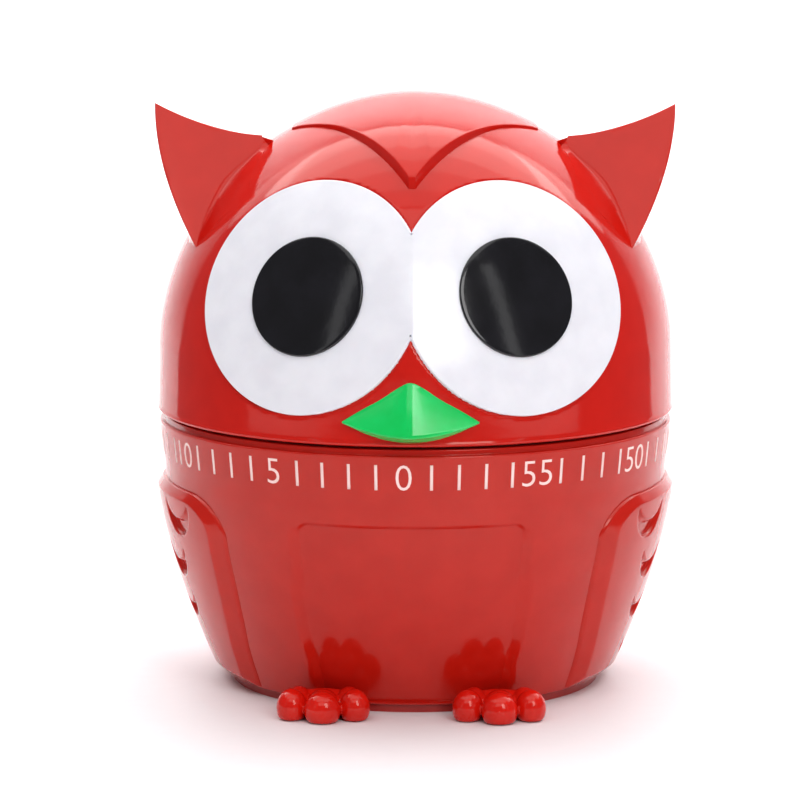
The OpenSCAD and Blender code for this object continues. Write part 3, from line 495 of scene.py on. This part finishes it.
def build_beak():
    even = np.linspace(-1, 1, 97)
    x = np.sign(even) * np.abs(even) ** 0.92 * BEAK_HALF
    share = x / BEAK_HALF
    lower = BEAK_LOW + BEAK_LOW_RISE * share ** 2
    bottom = np.minimum(BEAK_BOTTOM + BEAK_BOTTOM_RISE * share ** 2, lower - 0.02)
    upper = np.maximum(BEAK_TOP - BEAK_SLOPE * np.sqrt(x ** 2 + BEAK_SOFT), lower + 0.02)
    tall = upper - lower

    def face_y(z):
        return BEAK_FACE_Y + BEAK_FALL * np.sqrt(x ** 2 + BEAK_RIDGE) + BEAK_LEAN * z

    def head_y(z):
        """Just inside the head."""
        return 0.15 - np.sqrt(dome_radius(z) ** 2 - x ** 2)

    def ring(y, z):
        return np.column_stack([x, np.broadcast_to(y, x.shape), z])

    rings = [ring(BEAK_BACK_Y, upper - 0.05), ring(head_y(upper), upper),
             ring(face_y(upper) + BEAK_EDGE, upper)]
    for a in np.radians([30, 60, 90]):
        rings.append(ring(face_y(upper) + BEAK_EDGE * (1 - math.sin(a)),
                          upper - np.minimum(BEAK_EDGE, tall / 3) * (1 - math.cos(a))))
    for t in np.linspace(0, 1, 18)[1:-1]:
        z = np.where(tall > 3 * BEAK_EDGE, upper - BEAK_EDGE + (2 * BEAK_EDGE - tall) * t, upper - tall * t)
        # slightly crowned
        rings.append(ring(face_y(z) - 0.12 * np.sin(math.pi * t) * (1 - np.abs(share)), z))
    rings.append(ring(face_y(lower), lower + np.minimum(0.1, tall / 3)))
    rings.append(ring(face_y(lower) + 0.07, lower - np.minimum(0.04, (lower - bottom) / 3)))
    start_y = face_y(lower) + 0.1
    for t in (0.15, 0.5, 1.0):
        rings.append(ring(start_y + (head_y(bottom) - start_y) * t, lower + (bottom - lower) * t))
    rings.append(ring(BEAK_BACK_Y, bottom + 0.05))
    # each station across is a closed ring round the beak
    grid = np.stack(rings, 1)
    add_piece("beak_wedge", grid.reshape(-1, 3), tube(*grid.shape[:2]), GREEN, "head",
              ["beak"], merge=0.004, crease=50)


# ---- ears ----
# three lines of the right ear, station by station from the crown over the tip to the lower corner: the rim,
# the fold where the flat face turns towards the head, and the root on the head
EAR_RIM = [(18.8, -4.1, 68.05), (20.9, -4.2, 68.3), (23.2, -4.3, 68.7), (25.4, -4.3, 69.4),
           (27.6, -4.3, 70.1), (29.7, -4.2, 71), (31.8, -4, 72), (31.6, -5.2, 69), (31, -6.3, 66.1),
           (30.2, -7.4, 63.2), (29.1, -8.5, 60.4), (27.9, -9.4, 57.6), (26.5, -10.3, 54.9)]
EAR_FOLD = [(18.5, -4.4, 67.5), (19.1, -4.9, 66.5), (19.9, -5.3, 65.5), (20.9, -5.8, 64.6),
            (21.8, -6.3, 63.7), (22.7, -6.8, 62.8), (23.4, -7.3, 61.8), (24.0, -7.8, 60.7),
            (24.7, -8.3, 59.6), (25.3, -8.9, 58.5), (25.8, -9.4, 57.3), (26.2, -9.9, 56.1),
            (26.5, -10.4, 54.8)]
EAR_ROOT = [(17.8, -4.6, 66.7), (18.5, -5.4, 66.2), (19.1, -7.1, 65.2), (19.6, -9.3, 64.1),
            (19.8, -11.5, 62.9), (19.8, -13.5, 61.6), (21, -12.9, 60.9), (22, -12.6, 60), (22.9, -12.3, 59.1),
            (23.8, -12, 58.1), (24.7, -11.7, 57.1), (25.5, -11.4, 56), (26.4, -10.6, 54.7)]
# stations of the rim's tip and of the root's corner, and the number of steps between stations
EAR_TIP, EAR_CORNER, EAR_STEPS = 6, 5, 8
# the way the flat face looks
EAR_FRONT = np.array([-0.1107, -0.9193, 0.3777])
EAR_FRONT /= np.linalg.norm(EAR_FRONT)
EAR_THICK, EAR_DISH, EAR_ROLL = 0.42, 0.10, 0.2
EAR_MIDDLE = np.array([25.0, -6.5, 65.0])


def sunk_ends(loop):
    """The loop with one more point at each end, inside the head."""
    return np.vstack([loop[0] + [-0.4, 0.6, -1.9], loop, loop[-1] + [-1.4, 0.7, -0.9]])


def soft_curve(points, degree):
    """A curve of low degree close to points."""
    p = np.asarray(points, float)
    t = np.arange(len(p))
    fine = np.linspace(0, len(p) - 1, (len(p) - 1) * EAR_STEPS + 1)
    return np.column_stack([np.polyval(np.polyfit(t, p[:, k], degree), fine) for k in range(3)])


def bent_curve(points, corner):
    """Two soft curves that meet in a corner at one of the points."""
    return np.vstack([soft_curve(points[:corner + 1], 3), soft_curve(points[corner:], 3)[1:]])


def in_ear_plane(points):
    """The part of some vectors that lies in the plane of the ear's face."""
    return points - np.outer(points @ EAR_FRONT, EAR_FRONT)


def to_ear_face(points):
    """Points moved straight onto the ear's face."""
    tip = np.array(EAR_RIM[EAR_TIP])
    return points - np.outer((points - tip) @ EAR_FRONT, EAR_FRONT)


def build_ear(side, name, node_name):
    rim = to_ear_face(bent_curve(EAR_RIM, EAR_TIP))
    fold = to_ear_face(soft_curve(EAR_FOLD, 5))
    root = bent_curve(EAR_ROOT, EAR_CORNER)
    t = np.linspace(0, 1, len(rim))
    # where the ear's back meets the head: down the dome in a bow towards the rear
    turn = np.radians(-10 - 6 * t + 22 * np.sin(np.pi * t) ** 0.8)
    height = 67.3 - 12.4 * t
    reach = dome_radius(height)
    back = np.column_stack([reach * np.cos(turn), reach * np.sin(turn), height])
    out = in_ear_plane(rim - EAR_MIDDLE)
    out /= np.linalg.norm(out, axis=1, keepdims=True)
    dish = EAR_DISH * np.sin(np.pi * t)[:, None]
    thick = EAR_THICK * np.clip(np.minimum(t, 1 - t) / 0.1, 0.35, 1)[:, None]
    # the root and the back go on a little way into the head
    middle, sunk = np.array([0, 0, 40.0]), 0.955
    rings = [middle + (root - middle) * sunk]
    rings += [root + (fold - root) * k for k in (0, 0.03, 0.25, 0.5, 0.75, 0.97)]
    rings += [fold + (rim - fold) * k - EAR_FRONT * dish * math.sin(math.pi * k)
              for k in (0.02, 0.06, 0.2, 0.36, 0.52, 0.68, 0.84, 0.975)]
    rings += [rim + EAR_FRONT * thick * (math.cos(a) - 1) + out * EAR_ROLL * (math.sin(a) - 0.6)
              for a in np.radians([14, 40, 65, 90, 115, 140, 166])]
    behind = rings[-1]
    rings += [behind + (back - behind) * k - EAR_FRONT * 6 * dish * math.sin(math.pi * k)
              for k in (0.15, 0.32, 0.5, 0.68, 0.85)]
    rings += [back, middle + (back - middle) * sunk]
    # each station is a closed ring round the ear
    grid = np.stack([sunk_ends(r) for r in rings], 1) * [side, 1, 1]
    add_piece(name, grid.reshape(-1, 3), tube(*grid.shape[:2]), HEAD_RED, "head", [node_name],
              merge=0.002, crease=34)


# ---- body ----
PANEL_LOW, PANEL_TOP, PANEL_CORNER, PANEL_DEPTH = 0.4, 24.2, 1.6, 0.5
PANEL_FOOT_HALF, PANEL_SPREAD, PANEL_SPREAD_H = 10.4, 3.5, 17.0
# the collar in the gap under the head, and the step that the deck ring sits on
COLLAR_R, COLLAR_IN_R, COLLAR_H = 31.15, 29.45, 0.7
DECK_Z, DECK_STEP_R, DECK_LOW_Z = 31.0, 27.9, 29.2


def panel_half(z):
    """Half width of the belly panel at a height."""
    share = np.clip((z - PANEL_LOW) / PANEL_SPREAD_H, 0, 1)
    return PANEL_FOOT_HALF + PANEL_SPREAD * np.sin(np.radians(90 * share))


def panel_inside(x, z):
    """How far a point is inside the belly panel's edge, seen from the front."""
    x = np.abs(x)
    half = panel_half(z)
    corner_x, corner_z = half - PANEL_CORNER, PANEL_TOP - PANEL_CORNER
    plain = np.minimum(np.minimum(half - x, PANEL_TOP - z), z - PANEL_LOW)
    rounded = PANEL_CORNER - np.hypot(x - corner_x, z - corner_z)
    return np.where((x > corner_x) & (z > corner_z), rounded, plain)


def build_body():
    # in mm round the side from the front: finer where the panel's edge runs
    reach = steps((0, 0.8), (10.0, 0.13), (14.3, 0.8), (48.4, 1.0), 97.3) / 31.0
    reach = reach[reach < math.pi - 0.01]
    angles = FRONT + np.concatenate([-reach[::-1], reach[1:], [math.pi]])
    cols = len(angles)
    zs = steps((SHELL_Z + 0.3, 0.13), (4.2, 0.45), (21.6, 0.13), (25.2, 0.4), BODY_LIP_Z - 0.35)
    outside = around(np.column_stack([body_radius(zs), zs]), angles)
    front = outside[:, :, 1] < 0
    inside = panel_inside(outside[:, :, 0], outside[:, :, 2])
    depth = PANEL_DEPTH * smooth((inside + 0.1) / 0.5) * front
    scale = 1 - depth / np.hypot(outside[:, :, 0], outside[:, :, 1])
    outside[:, :, :2] *= scale[:, :, None]
    low_r, top_r = float(body_radius(SHELL_Z)), float(body_radius(BODY_LIP_Z))
    low = arc(low_r - WALL + 0.2, SHELL_Z + 0.2, 0.2, 180, 270, 4)
    low += arc(low_r - 0.25, SHELL_Z + 0.25, 0.3, 270, 350, 5)
    collar_z = BODY_LIP_Z + COLLAR_H
    top = arc(top_r - 0.25, BODY_LIP_Z - 0.25, 0.25, 10, 90, 7)
    top += arc(COLLAR_R + 0.1, BODY_LIP_Z + 0.1, 0.1, 270, 180, 4)
    top += arc(COLLAR_R - 0.15, collar_z - 0.15, 0.15, 0, 90, 5)
    top += arc(COLLAR_IN_R + 0.2, collar_z - 0.2, 0.2, 90, 180, 4)
    top += [(COLLAR_IN_R, DECK_Z + 0.2), (COLLAR_IN_R - 0.03, DECK_Z), (DECK_STEP_R + 0.05, DECK_Z),
            (DECK_STEP_R, DECK_Z - 0.1), (DECK_STEP_R, DECK_LOW_Z)]
    inner = [(min(DECK_STEP_R + (DECK_LOW_Z - z) * 1.5, float(body_radius(z)) - WALL), z)
             for z in steps((DECK_LOW_Z - 0.1, 0.5), SHELL_Z + 0.6)]
    grid = np.concatenate([around(low, angles), outside, around(top, angles), around(inner, angles)])
    rows = len(grid)
    # the last row joins the first, which closes the wall
    faces = quads(rows, cols, wrap=True)
    faces += [((rows - 1) * cols + j, (rows - 1) * cols + (j + 1) % cols, (j + 1) % cols, j)
              for j in range(cols)]
    add_piece("body_bowl", grid.reshape(-1, 3), faces, BODY_RED, "base", ["body_shell"],
              crease=60)


# ---- wings ----
WING_LOW, WING_TOP, WING_BEND = 1.25, 25.6, 21.0
# height and half width up a wing's sides, then the half width of its top edge and how far that bows up
WING_SIDE = [(WING_LOW, 14.6), (6, 16.3), (10, 17.9), (15, 19.4), (WING_BEND, 20.5)]
WING_TOP_HALF, WING_TOP_RISE = 15.2, 0.1
# how far the wing stands over the body, by distance inside its edge: a roll, a slope and a flat face
WING_EDGE, WING_FACE = -0.3, 1.1
WING_LIFT = [(0, WING_EDGE), (0.06, 0.2), (0.12, 0.34), (0.2, 0.4), (0.98, 0.99), (1.08, 1.06),
             (1.18, WING_FACE), (9, WING_FACE)]
# the width of the finely meshed band along the edge, and how deep in the body's wall the hidden back lies
WING_BAND, WING_BACK = 2.1, 0.5
# rows of feather marks: height, direction of the first and step in degrees from the front, count, radius
FEATHERS = [(23.5, 66, 24, 3, 3.7), (17.6, 73, 17, 3, 3.5), (11.6, 75.5, 14.5, 3, 2.9), (5.6, 81, 18, 2, 1.9)]
# a mark is a disc less a larger one above it: how far up and how large that one is, in radii, and its depth
FEATHER_BITE, FEATHER_BITE_SIZE, FEATHER_DEPTH = 0.74, 1.15, 0.62


def wing_half(z):
    """Half width of a wing at a height, seen from the side."""
    z = np.asarray(z, float)
    side = curve_through(WING_SIDE, 12)
    low = np.interp(z, side[:, 0], side[:, 1])
    share = (z - WING_BEND) / (WING_TOP - WING_BEND)
    widest = WING_SIDE[-1][1]
    high = WING_TOP_HALF + (widest - WING_TOP_HALF) * np.sqrt(np.clip(1 - share ** 2, 0, 1))
    return np.where(z < WING_BEND, low, high)


def distance_to(outline, points):
    """Distance of each point to a closed outline, at most 9 mm."""
    best = np.full(len(points), 9.0)
    for p, q in zip(outline, np.roll(outline, -1, 0)):
        d = q - p
        length = d @ d
        if length < 1e-9:
            continue
        t = np.clip(((points - p) @ d) / length, 0, 1)
        best = np.minimum(best, np.hypot(*(points - p - t[:, None] * d).T))
    return best


def side_depth(y, z, lift):
    """How far out to the side a point lies that stands over the body by lift."""
    return np.sqrt(np.clip((body_radius(z) + lift) ** 2 - y ** 2, 0, None))


def build_wing(side, name, node_name):
    arch = np.sin(np.radians(steps((0, 2.2), (70, 1.0), 90)))
    zs = np.concatenate([steps((WING_LOW, 0.05), (WING_LOW + 0.3, 0.15), WING_BEND)[:-1],
                         WING_BEND + (WING_TOP - WING_BEND) * arch])
    # each row has a fine band along both edges and even steps between them
    band = steps((0, 0.06), (0.3, 0.14), WING_BAND)[:-1]
    even = np.linspace(-1, 1, 237)
    y = np.array([np.concatenate([-half + band, even * (half - WING_BAND), (half - band)[::-1]])
                  for half in wing_half(zs)])
    z = np.broadcast_to(zs[:, None], y.shape).copy()
    # the top edge bows up a little towards the middle
    z += (WING_TOP_RISE * smooth((WING_TOP_HALF - np.abs(y)) / 7.2)
          * np.clip((z - WING_LOW) / (WING_TOP - WING_LOW), 0, 1) ** 6)
    rows, cols = y.shape
    flat = np.column_stack([y.ravel(), z.ravel()])
    index = np.arange(rows * cols).reshape(rows, cols)
    border = np.concatenate([index[:, 0], index[-1], index[::-1, -1], index[0, ::-1]])
    inside = distance_to(flat[border], flat).reshape(y.shape)
    lift = np.interp(inside, *zip(*WING_LIFT))
    lift[0], lift[-1], lift[:, 0], lift[:, -1] = [WING_EDGE] * 4
    # feather marks: crescents, horns up, pressed into the face
    turn = np.arctan2(side_depth(y, z, lift), -y)
    for height, first, step, count, mark in FEATHERS:
        for k in range(count):
            across = (turn - math.radians(first + step * k)) * (float(body_radius(height)) + WING_FACE)
            up = z - height
            disc = mark - np.hypot(across, up)
            bite = np.hypot(across, up - FEATHER_BITE * mark) - FEATHER_BITE_SIZE * mark
            press = smooth((np.minimum(disc, bite) + 0.05) / 0.4)
            lift = lift - FEATHER_DEPTH * press * (inside > 1.15)
    face = np.stack([side_depth(y, z, lift) * side, y, z], -1).reshape(-1, 3)
    # the hidden back, inside the body's wall, closes the border with ever smaller loops
    loop = np.concatenate([index[0, :-1], index[:-1, -1], index[-1, :0:-1], index[:0:-1, 0]])
    centre = np.array([0.0, 13.5])
    shares = (0.96, 0.8, 0.6, 0.4, 0.2)
    backs = [centre + (flat[loop] - centre) * share for share in shares] + [centre[None]]
    backs = [np.column_stack([side_depth(b[:, 0], b[:, 1], -WING_BACK) * side, b]) for b in backs]
    count, first = len(loop), rows * cols
    last = first + (len(shares) - 1) * count
    outer_back = first + np.arange(count)
    faces = quads(rows, cols)
    faces += np.stack([loop, outer_back, np.roll(outer_back, -1), np.roll(loop, -1)], -1).tolist()
    faces += quads(len(shares), count, wrap=True, first=first) + fan(last, count, last + count)
    add_piece(name, np.concatenate([face] + backs), faces, BODY_RED, "base", [node_name])


# ---- feet ----
# the right foot's toes: x, y and half width
TOES = [(6.75, -27.0, 1.85), (10.6, -28.5, 2.2), (14.35, -26.8, 1.85)]
FOOT_X, SOLE_Z = 10.6, 0.1


def blob(points, faces, centre, size, rows=14, cols=24):
    """Adds an ellipsoid to lists of points and faces."""
    start = len(points)
    for i in range(1, rows):
        a = math.pi * i / rows
        for j in range(cols):
            b = 2 * math.pi * j / cols
            points.append((centre[0] + size[0] * math.sin(a) * math.cos(b),
                           centre[1] + size[1] * math.sin(a) * math.sin(b),
                           centre[2] + size[2] * math.cos(a)))
    top = len(points)
    points += [(centre[0], centre[1], centre[2] + size[2]), (centre[0], centre[1], centre[2] - size[2])]
    faces += quads(rows - 1, cols, wrap=True, first=start)
    faces += fan(start, cols, top) + fan(top - cols, cols, top + 1, flip=True)


def build_foot(side, name, node_name):
    points, faces = [], []
    for x, y, wide in TOES:
        blob(points, faces, (x, y, 1.45), (wide, 1.95, 2.3))
        blob(points, faces, (x + (FOOT_X - x) * 0.2, y + 2.6, 1.4), (wide * 0.92, 3.0, 2.05))
    blob(points, faces, (FOOT_X, -23.6, 1.4), (4.6, 1.8, 1.7))
    points = np.array(points) * [side, 1, 1]
    # all but flat underneath
    below = points[:, 2] - SOLE_Z
    points[:, 2] = SOLE_Z + np.maximum(below, 0.06 * below)
    piece = add_piece(name, points, faces, TOE_RED, "base", [node_name])
    remesh = piece.modifiers.new("remesh", "REMESH")
    remesh.mode, remesh.voxel_size, remesh.use_smooth_shade = "VOXEL", 0.16 * MM, True
    relax = piece.modifiers.new("relax", "SMOOTH")
    relax.factor, relax.iterations = 0.5, 5


# ---- printed scale on the body ----
SCALE_Z, SCALE_HEIGHT, SCALE_ZERO, SCALE_R = 30.2, 3.07, math.radians(-1.5), 31.4
TICK_WIDTH, PRINT_HALF = 0.36, 0.04


def on_body(across, up, lift):
    """Points on the body's side. across runs along the side, in mm to the viewer's right of the front."""
    z = np.asarray(up, float)
    r = body_radius(z) + lift
    a = FRONT + np.asarray(across, float) / SCALE_R
    return np.stack([r * np.cos(a), r * np.sin(a), z], -1)


def minute_place(minute):
    """Where a minute mark lies along the body's side."""
    return -(math.radians(6 * minute) - SCALE_ZERO) * SCALE_R


def build_ticks():
    points, faces = [], []
    # a tick's cross section: half widths across and lifts, round a thin closed strip
    section = ((-1, -0.03), (-1, 0.03), (0, PRINT_HALF), (1, 0.03), (1, -0.03))
    rows, cols = 5, len(section)
    for minute in range(60):
        if minute % 5 == 0:
            continue
        start = len(points)
        for i in range(rows):
            z = SCALE_Z - SCALE_HEIGHT / 2 + SCALE_HEIGHT * i / (rows - 1)
            for half, lift in section:
                points.append(on_body(minute_place(minute) + half * TICK_WIDTH / 2, z, lift).tolist())
        faces += [[start + v for v in f] for f in tube(rows, cols)]
    add_piece("scale_ticks", points, faces, PRINT, "base")


def digits_mesh(minute):
    """A flat mesh of a number, from the built-in font."""
    text = bpy.data.curves.new("digits", "FONT")
    text.body = str(minute)
    text.align_x, text.align_y = "CENTER", "CENTER"
    text.size, text.resolution_u, text.offset = 4.2, 4, -0.045
    maker = bpy.data.objects.new("digits", text)
    bpy.context.scene.collection.objects.link(maker)
    mesh = bpy.data.meshes.new_from_object(maker.evaluated_get(bpy.context.evaluated_depsgraph_get()))
    bpy.data.objects.remove(maker)
    return mesh


def build_number(minute):
    mesh = digits_mesh(minute)
    co = np.array([v.co[:] for v in mesh.vertices])
    middle = (co.max(0) + co.min(0)) / 2
    scale = SCALE_HEIGHT / (co.max(0) - co.min(0))[1]
    bm = bmesh.new()
    bm.from_mesh(mesh)
    bpy.data.meshes.remove(mesh)
    bmesh.ops.remove_doubles(bm, verts=bm.verts, dist=1e-4)
    bmesh.ops.triangulate(bm, faces=bm.faces)
    bmesh.ops.subdivide_edges(bm, edges=[e for e in bm.edges if e.calc_length() > 0.5], cuts=1)
    bm.verts.index_update()
    flat = np.array([v.co[:2] for v in bm.verts])
    front = [tuple(v.index for v in f.verts) for f in bm.faces]
    rim = [(e.link_loops[0].vert.index, e.link_loops[0].link_loop_next.vert.index)
           for e in bm.edges if e.is_boundary]
    bm.free()
    # a thin closed skin of print: the face, the same face below, and an edge round both
    x = minute_place(minute) + (flat[:, 0] - middle[0]) * scale
    z = SCALE_Z + (flat[:, 1] - middle[1]) * scale
    count = len(flat)
    faces = front + [tuple(i + count for i in f[::-1]) for f in front]
    faces += [(b, a, a + count, b + count) for a, b in rim]
    points = np.concatenate([on_body(x, z, PRINT_HALF), on_body(x, z, -PRINT_HALF)])
    add_piece(f"scale_number_{minute:02d}", points, faces, PRINT, "base", crease=40)


build_head()
build_brow()
build_eye_plate()
build_pupil(-1, "left_pupil")
build_pupil(1, "right_pupil")
build_beak()
build_ear(-1, "left_ear", "ear_left")
build_ear(1, "right_ear", "ear_right")
build_body()
build_wing(-1, "left_wing", "wing_left")
build_wing(1, "right_wing", "wing_right")
build_foot(-1, "left_foot", "foot_left")
build_foot(1, "right_foot", "foot_right")
build_ticks()
for five in range(0, 60, 5):
    build_number(five)


# ---- floor, light and camera ----

# metres from here on
SWEEP_START, SWEEP_R, SWEEP_SPREAD, SWEEP_TOP, SWEEP_TOP_HALF = 0.5, 0.35, 1.376, 1.6, 1.17


def stage_sweep():
    """A pale floor that curves up far behind the timer."""
    # depth, height and half width of each row: narrow beside the timer, wider towards the back
    rows = [(-0.3, 0.0, 0.42), (-0.1, 0.0, 0.34), (-0.03, 0.0, 0.2), (0.145, 0.0, 0.2),
            (SWEEP_START, 0.0, SWEEP_SPREAD * SWEEP_START)]
    for a in np.radians(np.linspace(7.5, 90, 12)):
        depth = SWEEP_START + SWEEP_R * math.sin(a)
        rows.append((depth, SWEEP_R * (1 - math.cos(a)), SWEEP_SPREAD * depth))
    rows.append((SWEEP_START + SWEEP_R, SWEEP_TOP, SWEEP_TOP_HALF))
    widths = np.linspace(-1, 1, 9)
    points = [(x * half, y, z) for y, z, half in rows for x in widths]
    mesh = bpy.data.meshes.new("floor")
    mesh.from_pydata(points, [], quads(len(rows), len(widths)))
    mesh.shade_smooth()
    floor = bpy.data.objects.new("floor", mesh)
    bpy.context.scene.collection.objects.link(floor)
    paper = bpy.data.materials.new("paper")
    paper.use_nodes = True
    tree = paper.node_tree
    shader = tree.nodes["Principled BSDF"]
    grain = node(tree, "ShaderNodeTexNoise", Scale=700.0, Detail=3.0)
    tone = two_tones(tree, grain.outputs["Fac"], 0.0, 1.0, (0.83, 0.81, 0.825, 1), (0.86, 0.84, 0.85, 1))
    tree.links.new(tone, shader.inputs["Base Color"])
    shader.inputs["Roughness"].default_value = 0.55
    mesh.materials.append(paper)


def softbox(name, place, target, size, power):
    """A rectangular light turned towards a target, with its power in watts."""
    light = bpy.data.lights.new(name, "AREA")
    light.shape, light.size, light.size_y, light.energy = "RECTANGLE", size[0], size[1], power
    lamp = bpy.data.objects.new(name, light)
    lamp.location = place
    lamp.rotation_euler = (Vector(target) - Vector(place)).to_track_quat("-Z", "Y").to_euler()
    bpy.context.scene.collection.objects.link(lamp)


stage_sweep()
CENTRE = (0, 0, 0.036)
# one wide overhead light in strips, dimmer towards the front: the depth, reach and power of each
OVERHEAD_X, OVERHEAD_Z, OVERHEAD_WIDE = 0.08, 0.66, 1.5
OVERHEAD = [(0.36, 0.14, 2.4), (0.22, 0.14, 2.0), (0.09, 0.12, 1.2), (-0.03, 0.12, 0.85), (-0.14, 0.10, 0.5)]
for number, (depth, reach, power) in enumerate(OVERHEAD):
    softbox(f"overhead_{number}", (OVERHEAD_X, depth, OVERHEAD_Z), (OVERHEAD_X, depth, 0),
            (OVERHEAD_WIDE, reach), power)
softbox("overhead_front", (0, -0.32, 0.62), CENTRE, (0.9, 0.26), 1.1)
softbox("strip_left", (-0.555, -0.575, 0.36), CENTRE, (0.05, 0.5), 0.08)
softbox("strip_right", (0.60, -0.54, 0.36), CENTRE, (0.05, 0.5), 0.1)
softbox("window_right", (0.31, -0.635, 0.41), CENTRE, (0.26, 0.35), 1.5)
softbox("ear_glow", (0, -0.61, 0.50), CENTRE, (0.62, 0.22), 0.62)
softbox("back_high_left", (-0.62, 1.0, 0.95), CENTRE, (1.2, 0.6), 3.2)
softbox("back_high_right", (0.62, 1.0, 0.95), CENTRE, (1.2, 0.6), 6.0)
softbox("backdrop", (0, 0.33, 0.9), (0, 1.33, 0.62), (1.7, 0.3), 15.0)

world = bpy.data.worlds.new("world")
world.use_nodes = True
background = world.node_tree.nodes["Background"]
background.inputs["Color"].default_value = (0.97, 0.97, 1.0, 1)
background.inputs["Strength"].default_value = 0.22
bpy.context.scene.world = world
bpy.context.scene.view_settings.view_transform = "Standard"

camera_data = bpy.data.cameras.new("camera")
camera_data.lens, camera_data.sensor_width = 209.4, 36
camera_data.clip_start, camera_data.clip_end = 0.01, 10
camera = bpy.data.objects.new("camera", camera_data)
camera.location = (0.00999, -0.5722, 0.1241)
aim = Vector((-0.0019, 0, 0.0346))
camera.rotation_euler = (aim - camera.location).to_track_quat("-Z", "Y").to_euler()
bpy.context.scene.collection.objects.link(camera)
bpy.context.scene.camera = camera
